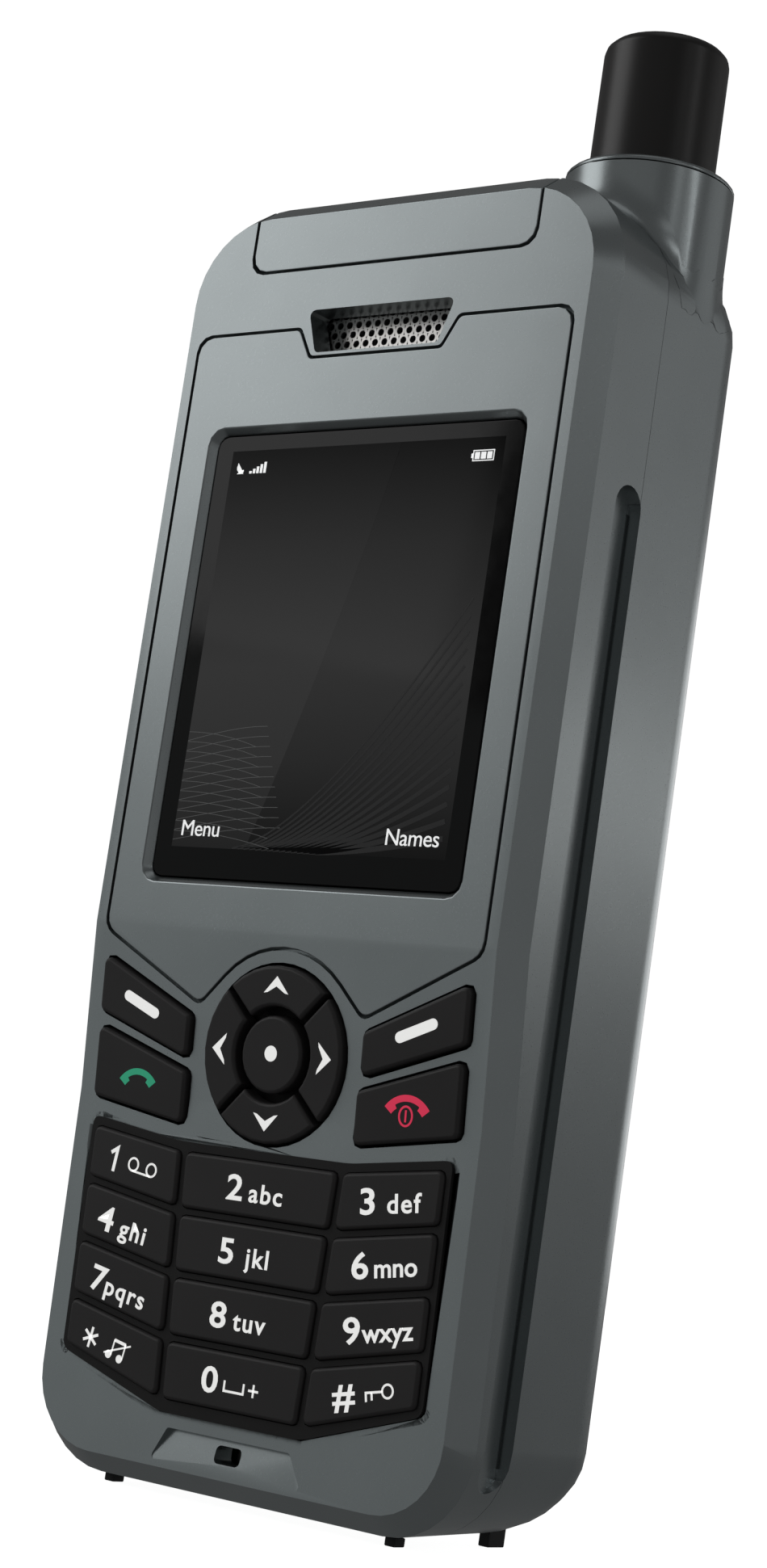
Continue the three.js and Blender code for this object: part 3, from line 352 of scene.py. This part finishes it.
def smooth_group(limit):
    """Geometry nodes that shade a mesh smooth except over edges sharper than the limit."""
    name = f"smooth_under_{round(math.degrees(limit))}"
    if name in bpy.data.node_groups:
        return bpy.data.node_groups[name]
    group = bpy.data.node_groups.new(name, "GeometryNodeTree")
    group.interface.new_socket("Geometry", in_out="INPUT", socket_type="NodeSocketGeometry")
    group.interface.new_socket("Geometry", in_out="OUTPUT", socket_type="NodeSocketGeometry")
    start, end = group.nodes.new("NodeGroupInput"), group.nodes.new("NodeGroupOutput")
    faces = group.nodes.new("GeometryNodeSetShadeSmooth")
    edges = group.nodes.new("GeometryNodeSetShadeSmooth")
    edges.domain = "EDGE"
    angle = group.nodes.new("GeometryNodeInputMeshEdgeAngle")
    sharp = group.nodes.new("FunctionNodeCompare")
    sharp.operation = "GREATER_THAN"
    sharp.inputs[1].default_value = limit
    edges.inputs["Shade Smooth"].default_value = False
    link = group.links.new
    link(start.outputs[0], faces.inputs["Geometry"])
    link(faces.outputs[0], edges.inputs["Geometry"])
    link(angle.outputs["Unsigned Angle"], sharp.inputs[0])
    link(sharp.outputs[0], edges.inputs["Selection"])
    link(edges.outputs[0], end.inputs[0])
    return group


def soften(obj, width):
    """Joins split faces, makes coplanar triangles one face, rounds sharp edges and smooths the rest."""
    weld = obj.modifiers.new("weld", "WELD")
    weld.merge_threshold = WELD_GAP
    flat = obj.modifiers.new("flat", "DECIMATE")
    flat.decimate_type = "DISSOLVE"
    flat.angle_limit = FLAT_ANGLE
    if width:
        bevel = obj.modifiers.new("bevel", "BEVEL")
        bevel.width = width
        bevel.segments = BEVEL_STEPS
        bevel.limit_method = "ANGLE"
        bevel.angle_limit = SHARP_ANGLE
        bevel.use_clamp_overlap = True
        bevel.miter_outer = "MITER_ARC"
        bevel.harden_normals = False
    smooth = obj.modifiers.new("smooth", "NODES")
    smooth.node_group = smooth_group(SMOOTH_ANGLE)
    weighted = obj.modifiers.new("normals", "WEIGHTED_NORMAL")
    weighted.keep_sharp = True
    weighted.weight = 60


# How wide the edges of the nodes are rounded, in metres: the usual width, and the nodes that differ.
PLAIN_EDGE = 0.00012
EDGES = {
    "front_housing": 0.00016, "rear_housing": 0.00022, "display_bezel": 0.00012, "top_insert": 0.00012,
    "battery_cover": 0.0002, "display_window": 0.00012, "keypad_mat": 0.00015, "port_cover": 0.00025,
    "earpiece_grille": 0.0, "collar_ring": 0.00008, "antenna_radome": 0.0, "battery": 0.0004,
}


# ---------- prints: flat shapes on a flat face ----------
MITRE_LIMIT = 0.35  # the least cosine that a ribbon's corner is widened by
CAP_TO_SIZE = 1.37  # the built-in font's size for capitals of height 1


class Print:
    """Thin flat shapes, drawn in millimetres on a flat place, with X to the right and Y up."""

    def __init__(self, place, high=PRINT_HIGH, sunk=PRINT_SUNK):
        self.place = place
        self.made = bmesh.new()
        self.high = high
        self.sunk = sunk

    def plate(self, outline):
        """A filled outline of points."""
        top = [self.made.verts.new((x, y, self.high)) for x, y in outline]
        low = [self.made.verts.new((x, y, -self.sunk)) for x, y in outline]
        self.made.faces.new(top)
        self.made.faces.new(low[::-1])
        join_rings(self.made, [low, top])

    def ribbon(self, points, width, closed=False):
        """A line of even width through points, mitred at its corners."""
        count = len(points)
        sides = []
        for i, point in enumerate(points):
            here = Vector(point)
            before = Vector(points[i - 1]) if i or closed else None
            after = Vector(points[(i + 1) % count]) if i < count - 1 or closed else None
            into = (here - before).normalized() if before else (after - here).normalized()
            away = (after - here).normalized() if after else into
            along = (into + away).normalized()
            across = Vector((-along.y, along.x)) * (width / 2 / max(MITRE_LIMIT, along.dot(into)))
            sides.append([here + across, here - across])
        corners = [
            [self.made.verts.new((*at, z)) for z in (self.high, -self.sunk) for at in pair] for pair in sides
        ]
        pairs = list(zip(corners, corners[1:] + corners[:1] if closed else corners[1:]))
        for a, b in pairs:
            for i, j in ((0, 1), (3, 2), (2, 0), (1, 3)):
                self.made.faces.new((a[i], a[j], b[j], b[i]))
        if not closed:
            for end in (corners[0], corners[-1]):
                self.made.faces.new((end[0], end[1], end[3], end[2]))

    def words(self, text, height, x, y, align="CENTER", bold=0.0, narrow=1.1, spacing=0.96):
        """Text whose capitals have the given height, with its baseline at y."""
        curve = bpy.data.curves.new("words", "FONT")
        curve.body = text
        curve.size = height * CAP_TO_SIZE
        curve.align_x = align
        curve.offset = bold
        curve.space_character = spacing
        curve.resolution_u = 4
        self.stamp(curve, x, y, narrow)

    def sheet(self, outlines):
        """A flat sheet inside the first outline, with a hole for each of the others."""
        curve = bpy.data.curves.new("sheet", "CURVE")
        curve.dimensions = "2D"
        curve.fill_mode = "BOTH"
        for outline in outlines:
            spline = curve.splines.new("POLY")
            spline.points.add(len(outline) - 1)
            spline.use_cyclic_u = True
            for point, (x, y) in zip(spline.points, outline):
                point.co = (x, y, 0, 1)
        self.stamp(curve)

    def stamp(self, curve, x=0.0, y=0.0, narrow=1.0):
        """Adds a filled flat curve as a thin solid."""
        obj = bpy.data.objects.new("stamp", curve)
        scene.collection.objects.link(obj)
        bpy.context.view_layer.update()
        mesh = bpy.data.meshes.new_from_object(obj.evaluated_get(bpy.context.evaluated_depsgraph_get()))
        flat = bmesh.new()
        flat.from_mesh(mesh)
        bmesh.ops.remove_doubles(flat, verts=flat.verts, dist=0.0001)
        bmesh.ops.dissolve_limit(flat, angle_limit=0.001, verts=flat.verts, edges=flat.edges)
        bmesh.ops.transform(flat, matrix=Matrix.Diagonal((narrow, 1, 1, 1)), verts=flat.verts)
        bmesh.ops.translate(flat, vec=(x, y, self.high), verts=flat.verts)
        walls = bmesh.ops.extrude_face_region(flat, geom=flat.faces[:])
        lowered = [item for item in walls["geom"] if isinstance(item, bmesh.types.BMVert)]
        bmesh.ops.translate(flat, vec=(0, 0, -self.high - self.sunk), verts=lowered)
        flat.to_mesh(mesh)
        flat.free()
        self.made.from_mesh(mesh)
        bpy.data.objects.remove(obj)
        bpy.data.curves.remove(curve)
        bpy.data.meshes.remove(mesh)

    def finish(self, name, material, body):
        bmesh.ops.transform(self.made, matrix=self.place @ Matrix.Scale(MM, 4), verts=self.made.verts)
        piece = finish_mesh(name, self.made, material)
        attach(piece, body)
        return piece


def shares(steps):
    """Even steps from 0 to 1, both included."""
    return [k / steps for k in range(steps + 1)]


def arc(x, y, radius, start, end, steps):
    """Points along an arc between two angles in degrees."""
    turns = [math.radians(start + (end - start) * k / steps) for k in range(steps + 1)]
    return [(x + radius * math.cos(a), y + radius * math.sin(a)) for a in turns]


def circle(x, y, radius, steps=24):
    return arc(x, y, radius, 0, 360, steps)[:-1]


def oblong(left, low, wide, tall):
    """A rectangle from its lower left corner."""
    return [(left, low), (left + wide, low), (left + wide, low + tall), (left, low + tall)]


def stadium(length, width):
    """A bar with round ends."""
    half = (length - width) / 2
    return arc(half, 0, width / 2, -90, 90, 8) + arc(-half, 0, width / 2, 90, 270, 8)


def top_plane(node):
    """The normal of a key's top and a point on it: the largest CAD face that looks forwards."""
    faces = [face for face in nodes[node].data.polygons if face.normal.y < -0.9]
    best = max(faces, key=lambda face: face.area)
    return best.normal.copy(), best.center.copy()


def place_on(node, x, z, tilt=0.0):
    """A flat place on a key's top at a width and a height, turned by an angle in the plane."""
    normal, point = top_plane(node)
    y = point.y - (normal.x * (x - point.x) + normal.z * (z - point.z)) / normal.y
    right = Vector((1, 0, 0))
    right = (right - normal * right.dot(normal)).normalized()
    up = normal.cross(right)
    axes = Matrix((right, up, normal)).transposed().to_4x4()
    return Matrix.Translation((x, y, z)) @ axes @ Matrix.Rotation(tilt, 4, "Z")


# ---------- key legends ----------
NUMBER_KEYS = "1 2 3 4 5 6 7 8 9 star 0 hash".split()
LETTERS = {"2": "abc", "3": "def", "4": "ghi", "5": "jkl", "6": "mno", "7": "pqrs", "8": "tuv", "9": "wxyz"}
DIGIT_H, LETTER_H = 2.45, 1.82
WIDE_WORDS = ("mno", "wxyz")  # words of wide letters, set closer together
# Where the digit and the letters stand in a column, and which way the column's rows slope.
COLUMNS = ({"digit": -18.2, "letters": -14.45, "slope": -1}, {"digit": -2.5, "letters": 1.35, "slope": 0},
           {"digit": 13.35, "letters": 17.4, "slope": 1})
BOLD = {"digit": 0.06, "letters": 0.042}
# How steeply the outer columns' legends rise in the top row, and how much more in each row below it.
SLOPE, ROW_SLOPE = 0.14, 0.022


# The signs are drawn in mm, from the middle of the key's height and from x, the middle of the letters.
def voicemail(made, x):
    made.ribbon(circle(x - 1.2, 0.05, 0.62), 0.2, closed=True)
    made.ribbon(circle(x + 1.2, 0.05, 0.62), 0.2, closed=True)
    made.ribbon([(x - 1.2, -0.57), (x + 1.2, -0.57)], 0.2)


def crossed_notes(made, x):
    for side in (-0.75, 0.75):
        made.plate(circle(x + side - 0.25, -0.72, 0.4, 14))
        made.ribbon([(x + side + 0.1, -0.7), (x + side + 0.1, 0.85)], 0.16)
    made.ribbon([(x - 0.66, 0.8), (x + 0.86, 0.8)], 0.3)
    made.ribbon([(x - 1.6, -0.75), (x + 1.5, 0.9)], 0.17)


def space_and_plus(made, x):
    made.ribbon([(x - 2.0, 0.1), (x - 2.0, -0.85), (x + 0.35, -0.85), (x + 0.35, 0.1)], 0.22)
    made.ribbon([(x + 0.95, -0.4), (x + 2.15, -0.4)], 0.22)
    made.ribbon([(x + 1.55, -1.0), (x + 1.55, 0.2)], 0.22)


def key_sign(made, x):
    made.ribbon(circle(x + 0.95, 0.05, 0.6), 0.2, closed=True)
    made.ribbon([(x + 0.35, 0.05), (x - 1.5, 0.05), (x - 1.5, -0.75)], 0.22)
    made.ribbon([(x - 0.85, 0.05), (x - 0.85, -0.65)], 0.22)


def star(made, x):
    for k in range(3):
        turn = math.radians(90 + 60 * k)
        reach = Vector((math.cos(turn), math.sin(turn))) * 1.0
        made.ribbon([(x - reach.x, -reach.y), (x + reach.x, reach.y)], 0.28)


SIGNS = {"1": voicemail, "star": crossed_notes, "0": space_and_plus, "hash": key_sign}


def number_legends():
    for i, name in enumerate(NUMBER_KEYS):
        key = f"key_{name}"
        row, column = i // 3, COLUMNS[i % 3]
        low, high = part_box(key)
        middle_x = (column["digit"] + column["letters"]) / 2
        middle_z = (low.z + high.z) / 2 / MM
        tilt = column["slope"] * math.atan(SLOPE + ROW_SLOPE * row)
        made = Print(place_on(key, middle_x * MM, middle_z * MM, tilt))
        digit_x, letters_x = column["digit"] - middle_x, column["letters"] - middle_x
        base = -DIGIT_H / 2
        if name == "star":
            star(made, digit_x)
        elif name == "1":
            top, stem_x = DIGIT_H / 2, digit_x + 0.1
            made.ribbon([(digit_x - 0.62, top - 0.72), (stem_x, top - 0.14), (stem_x, base)], 0.36)
        else:
            digit = "#" if name == "hash" else name
            made.words(digit, DIGIT_H, digit_x, base, bold=BOLD["digit"], narrow=1.25)
        if name in LETTERS:
            spacing = 1.0 if LETTERS[name] in WIDE_WORDS else 1.14
            made.words(LETTERS[name], LETTER_H, letters_x, base, bold=BOLD["letters"], spacing=spacing)
        else:
            SIGNS[name](made, letters_x)
        made.finish(f"legend_{name}", materials["white"], key + "_cap")


def handset(made, outer, top, spread=52, pad_turn=20, grip=0.62, pad=1.0):
    """A telephone receiver: an arched grip whose ends turn into deeper pads. Its highest point is at top."""
    centre = top - outer
    back = arc(0, centre, outer, 90 - spread, 90 + spread, 20)
    left_pad = arc(0, centre, outer - pad, 90 + spread, 90 + spread - pad_turn, 5)
    hollow = arc(0, centre, outer - grip, 90 + spread - pad_turn, 90 - spread + pad_turn, 12)
    right_pad = arc(0, centre, outer - pad, 90 - spread + pad_turn, 90 - spread, 5)
    made.plate(back + left_pad + hollow + right_pad)


def face_legends():
    soft_tilt, nav_r = math.radians(22), 6.45
    for side, key in ((-1, "soft_key_left"), (1, "soft_key_right")):
        low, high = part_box(key)
        middle_z = (low.z + high.z) / 2
        made = Print(place_on(key, side * 16.9 * MM, middle_z, side * soft_tilt))
        made.plate(stadium(5.0, 1.05))
        made.finish(f"legend_{key}", materials["white"], key + "_cap")

    receivers = (("call_key", "green", -16.55, 3.0, 0.85), ("end_key", "red", 16.6, 3.25, 1.25))
    for key, material, x, outer, top in receivers:
        made = Print(place_on(key, x * MM, 39.0 * MM))
        handset(made, outer, top)
        made.finish(f"legend_{key}", materials[material], key + "_cap")
        if key == "end_key":
            made = Print(place_on(key, (x - 0.1) * MM, 38.3 * MM))
            made.ribbon([(px, py * 1.2) for px, py in circle(0, 0, 0.74)], 0.2, closed=True)
            made.plate(oblong(-0.099, -0.55, 0.198, 1.1))
            made.finish("legend_end_ring", materials["red"], key + "_cap")

    for k, key in enumerate(("nav_up_key", "nav_left_key", "nav_down_key", "nav_right_key")):
        turn = math.pi / 2 * k
        x, z = -nav_r * math.sin(turn) * MM, nav_r * math.cos(turn) * MM
        made = Print(place_on(key, NAV_CENTRE.x + x, NAV_CENTRE.z + z, turn))
        made.plate([(-1.5, -0.8), (0.0, 0.85), (1.5, -0.8), (1.05, -0.72), (0.0, -0.12), (-1.05, -0.72)])
        made.finish(f"legend_{key}", materials["white"], key + "_cap")
    made = Print(place_on("select_key", NAV_CENTRE.x, NAV_CENTRE.z))
    made.plate(circle(0, 0, 0.75))
    made.finish("legend_select_key", materials["white"], "select_key_cap")


# ---------- rubber between the number keys ----------
# How far the sheet's top lies below the key tops, its thickness, its play round a key, how far it stays
# inside the recess, and how far its corners are rounded, in mm.
WEB = {"drop": 0.42, "thick": 0.4, "play": 0.09, "inset": 0.12, "corner": 1.0}
# Half of the keypad's recess, as width and height in mm. The other half mirrors it.
RECESS = [(8.7, 7.9), (22.2, 12.1), (22.2, 34.9), (10.5, 33.4)]


def grown(outline, amount):
    """A convex outline with every point moved away from the middle, by an amount in each direction."""
    xs, ys = [x for x, _ in outline], [y for _, y in outline]
    middle_x, middle_y = (min(xs) + max(xs)) / 2, (min(ys) + max(ys)) / 2
    wide = 1 + 2 * amount / (max(xs) - min(xs))
    high = 1 + 2 * amount / (max(ys) - min(ys))
    return [(middle_x + (x - middle_x) * wide, middle_y + (y - middle_y) * high) for x, y in outline]


def round_corners(outline, radius, steps=5):
    """The outline with each corner replaced by a curve that starts and ends at the radius from it."""
    made = []
    for i, corner in enumerate(outline):
        here = Vector(corner)
        before, after = Vector(outline[i - 1]), Vector(outline[(i + 1) % len(outline)])
        start = here + (before - here).normalized() * radius
        end = here + (after - here).normalized() * radius
        for t in shares(steps):
            made.append(tuple(start * (1 - t) ** 2 + here * 2 * t * (1 - t) + end * t ** 2))
    return made


def keypad_web():
    """A rubber sheet a little below the number keys' tops, with a hole for each key."""
    low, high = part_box("key_5")
    origin_z = (low.z + high.z) / 2
    place = place_on("key_5", 0, origin_z)
    to_plane = place.inverted()
    half = [(x - math.copysign(WEB["inset"], x), z - origin_z / MM) for x, z in RECESS]
    outer = round_corners(half + [(-x, z) for x, z in reversed(half)], WEB["corner"])
    holes = []
    for name in NUMBER_KEYS:
        points = [to_plane @ v.co / MM for v in nodes[f"key_{name}"].data.vertices]
        near_top = [p.to_2d() for p in points if p.z > -WEB["drop"] - WEB["thick"]]
        hull = convex_hull_2d(near_top)
        holes.append(grown([tuple(near_top[i]) for i in hull], WEB["play"]))
    made = Print(place, high=-WEB["drop"], sunk=WEB["drop"] + WEB["thick"])
    made.sheet([outer] + holes)
    made.finish("keypad_web", materials["mat"], "housing")


# ---------- display ----------
SCREEN_HALF_W = 16.9  # in mm
SCREEN_INSET = 0.02  # how far the layers above the picture stay inside it, in mm


def screen_layer(level):
    """A print on the lens, drawn in the phone's own X and Z in millimetres, one layer above another."""
    axes = Matrix((Vector((1, 0, 0)), Vector((0, 0, 1)), Vector((0, -1, 0)))).transposed().to_4x4()
    place = Matrix.Translation((0, LENS[0].y, 0)) @ axes
    return Print(place, high=SCREEN_LAYER * level, sunk=0.01)


def clipped(points, half_w, low, high):
    """The stretch of a line of points that lies inside the picture."""
    return [(x, z) for x, z in points if abs(x) <= half_w and low <= z <= high]


def display():
    half_w, low, high = SCREEN_HALF_W, SCREEN_LOW, SCREEN_HIGH
    made = screen_layer(1)
    made.plate(oblong(-half_w, low, 2 * half_w, high - low))
    made.finish("screen_picture", materials["picture"], "housing")

    # A painted reflection: a lighter copy of the picture that lightens everything on the left of a slow
    # curve.
    made = screen_layer(2)
    tall = high - low - 2 * SCREEN_INSET
    edge = [(4.6 - 9.6 * t - 2.4 * t * t, high - SCREEN_INSET - tall * t) for t in shares(16)]
    side_x = SCREEN_INSET - half_w
    made.plate(edge + [(side_x, low + SCREEN_INSET), (side_x, high - SCREEN_INSET)])
    made.finish("screen_painted_sheen", materials["sheen"], "housing")

    # Dark curved lines that fan out from the lower middle to the right edge.
    made = screen_layer(3)
    for k in range(15):
        rise = 26.5 - 1.75 * k
        start = -9.0 + 0.75 * k
        run = [(start + (half_w - start) * t, low + 0.1 + rise * t ** 1.55) for t in shares(24)]
        width = 0.2 + 0.024 * k
        inside = clipped(run, half_w - SCREEN_INSET, low + SCREEN_INSET, high)
        if len(inside) > 2:
            made.ribbon(inside, width)
    made.finish("screen_lines", materials["line"], "housing")

    # Fine light lines that cross in the lower left corner.
    weave_rows, weave_w, weave_x = 11, 0.05, -half_w + 0.05
    made = screen_layer(3)
    for k in range(weave_rows):
        base = low + 0.7 + 1.0 * k
        reach = 13.5 - 0.35 * k
        rising = [(weave_x + reach * t, base + 1.6 * math.sin(1.5 * t)) for t in shares(10)]
        made.ribbon(rising, weave_w)
    made.finish("screen_weave_rising", materials["weave"], "housing")
    made = screen_layer(4)
    for k in range(weave_rows):
        base = low + 1.6 + 1.0 * k
        reach = 12.5 - 0.35 * k
        falling = [(weave_x + reach * t, base - 1.4 * t * t) for t in shares(10)]
        made.ribbon(falling, weave_w)
    made.finish("screen_weave_falling", materials["weave"], "housing")

    # Signal bars with a small dish, and a battery with three bars.
    made = screen_layer(5)
    left, right, sign_z = -half_w + 1.3, half_w - 1.1, high - 2.4
    for k in range(5):
        made.plate(oblong(left + 1.25 + 0.46 * k, sign_z, 0.3, 0.25 + 0.22 * k))
    made.plate([(left - 0.35, sign_z + 1.15)] + arc(left + 0.05, sign_z + 0.65, 0.5, 150, 330, 8)
               + [(left + 0.45, sign_z + 0.15)])
    made.plate([(left - 0.35, sign_z), (left + 0.5, sign_z), (left + 0.05, sign_z + 0.35)])
    made.ribbon(oblong(right - 2.4, sign_z + 0.1, 2.4, 1.0), 0.09, closed=True)
    for k in range(3):
        made.plate(oblong(right - 2.2 + 0.72 * k, sign_z + 0.26, 0.55, 0.68))
    made.plate(oblong(right - 2.62, sign_z + 0.38, 0.16, 0.44))
    made.words("Menu", 1.65, -half_w + 0.9, low + 1.15, align="LEFT", narrow=1.04)
    made.words("Names", 1.65, half_w - 0.9, low + 1.15, align="RIGHT", narrow=1.04)
    made.finish("screen_signs", materials["icon"], "housing")


# ---------- earpiece ----------
def perforated_sheet():
    """A metal sheet with staggered rows of round holes, in the earpiece's slot."""
    pitch, row_pitch, hole_r, thick, sides = 1.18, 1.0, 0.38, 0.35, 12
    half_w, low, high = GRILLE[1].x / MM, GRILLE[0].z / MM, GRILLE[1].z / MM
    rows = int((high - low) / row_pitch)
    base_z = (low + high) / 2 - rows * row_pitch / 2
    across = int(2 * half_w / pitch) - 1
    made = bmesh.new()
    front = GRILLE[0].y / MM
    for row in range(rows):
        shift = pitch / 2 * (row % 2)
        for i in range(across):
            x = -across * pitch / 2 + pitch * (i + 0.5) + shift - pitch / 4
            z = base_z + row_pitch * (row + 0.5)
            rim, edge, back = [], [], []
            for k in range(sides):
                turn = 2 * math.pi * (k + 0.5) / sides
                dx, dz = math.cos(turn), math.sin(turn)
                grow = min(pitch / 2 / max(abs(dx), 1e-6), row_pitch / 2 / max(abs(dz), 1e-6))
                edge.append(made.verts.new((x + dx * grow, front, z + dz * grow)))
                rim.append(made.verts.new((x + dx * hole_r, front, z + dz * hole_r)))
                back.append(made.verts.new((x + dx * hole_r, front + thick, z + dz * hole_r)))
            join_rings(made, [edge, rim, back])
    bmesh.ops.remove_doubles(made, verts=made.verts, dist=0.001)
    bmesh.ops.scale(made, vec=(MM, MM, MM), verts=made.verts)
    sheet = finish_mesh("grille_sheet", made, materials["steel"])
    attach(sheet, "housing")
    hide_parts("earpiece_grille")


# ---------- collar ----------
def collar_flare():
    """The sweep at the foot of the antenna's collar, which follows the line where it meets the housings."""
    reach, tall, skin, around, steps, tries = 1.15 * MM, 4.4 * MM, 0.03 * MM, 96, 10, 12
    trees = []
    for name in ("front_housing", "rear_housing"):
        mesh = nodes[name].data
        points = [v.co for v in mesh.vertices]
        trees.append(BVHTree.FromPolygons(points, [tuple(p.vertices) for p in mesh.polygons]))
    body_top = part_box("front_housing")[1].z
    lowest = body_top - 12 * MM
    sky = body_top + 0.5 * MM

    def ground(x, y):
        """The height of the housings at a place, seen from just above the body, or nothing outside it."""
        hits = [tree.ray_cast(Vector((x, y, sky)), Vector((0, 0, -1)))[0] for tree in trees]
        heights = [hit.z for hit in hits if hit]
        return max(heights) if heights and max(heights) > lowest else None

    columns = []
    for k in range(around):
        turn = 2 * math.pi * k / around
        out = Vector((math.cos(turn), math.sin(turn)))
        found = None
        for part in range(tries):
            grow = reach * (1 - part / tries)
            x, y = COLLAR_X + out.x * (COLLAR_R + grow), COLLAR_Y + out.y * (COLLAR_R + grow)
            height = ground(x, y)
            if height is not None:
                found = (grow, height)
                break
        columns.append((out, found))
    rings = []
    made = bmesh.new()
    solid_columns = [(out, found) for out, found in columns if found]
    for out, (grow, height) in solid_columns:
        ring = []
        for step in range(steps + 1):
            share = step / steps
            spread = grow * (1 - math.sqrt(max(0.0, 1 - share ** 2)))
            z = height + tall * (1 - share)
            radius = COLLAR_R + skin + spread
            x = min(COLLAR_X + out.x * radius, cad_box[1].x)
            ring.append(made.verts.new((x, COLLAR_Y + out.y * radius, z)))
        rings.append(ring)
    count = len(rings)
    whole = count == around
    for a in range(count if whole else count - 1):
        b = (a + 1) % count
        for step in range(steps):
            made.faces.new((rings[a][step], rings[a][step + 1], rings[b][step + 1], rings[b][step]))
    flare = finish_mesh("collar_flare", made, materials["paint"], smooth=True)
    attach(flare, "housing")


# ---------- build ----------
add_camera()
materials = make_materials()
add_stage(materials["floor"])
add_world(0.12)
CENTRE = (0, 0, 0.08)
# Each light's place, what it faces, its width and height in metres, its power in watts, and its colour.
add_area_light("key_left", (-0.71, -0.53, 0.57), CENTRE, (0.62, 0.66), 1.85)
add_area_light("fill_left", (-0.80, -0.65, 0.02), CENTRE, (0.9, 0.5), 0.30, (0.95, 1.0, 1.0))
add_area_light("fill_right", (0.95, -0.50, 0.12), CENTRE, (0.5, 0.6), 0.12)
add_area_light("fill_front", (0.27, -1.0, 0.52), CENTRE, (1.2, 0.3), 0.14)
add_area_light("side_band", (0.62, 0.78, 0.225), CENTRE, (0.6, 0.05), 0.15, (1.0, 0.99, 0.98))
add_area_light("side_low", (0.64, 0.80, 0.06), CENTRE, (0.7, 0.3), 0.022)
add_area_light("side_high", (0.64, 0.80, 0.46), CENTRE, (0.7, 0.3), 0.14)
add_area_light("back_glow", (-0.20, 1.18, 0.2), CENTRE, (1.1, 0.35), 1.3)
add_area_light("collar_strip", (0.99, 0.105, 0.53), CENTRE, (0.13, 0.3), 0.24)
add_area_light("chamfer_glint", (0.90, -0.26, 0.50), CENTRE, (0.12, 0.24), 0.07)
add_area_light("top", (0.1, -0.1, 1.1), CENTRE, (0.6, 0.6), 0.35)

for part in frame["record"]["subparts"]:
    dress(part["node"], materials[SLOT_FINISH[part["material_slot"]]])
for name, obj in nodes.items():
    soften(obj, EDGES.get(name, PLAIN_EDGE))
number_legends()
face_legends()
keypad_web()
display()
perforated_sheet()
collar_flare()

scene.view_settings.view_transform = "Standard"
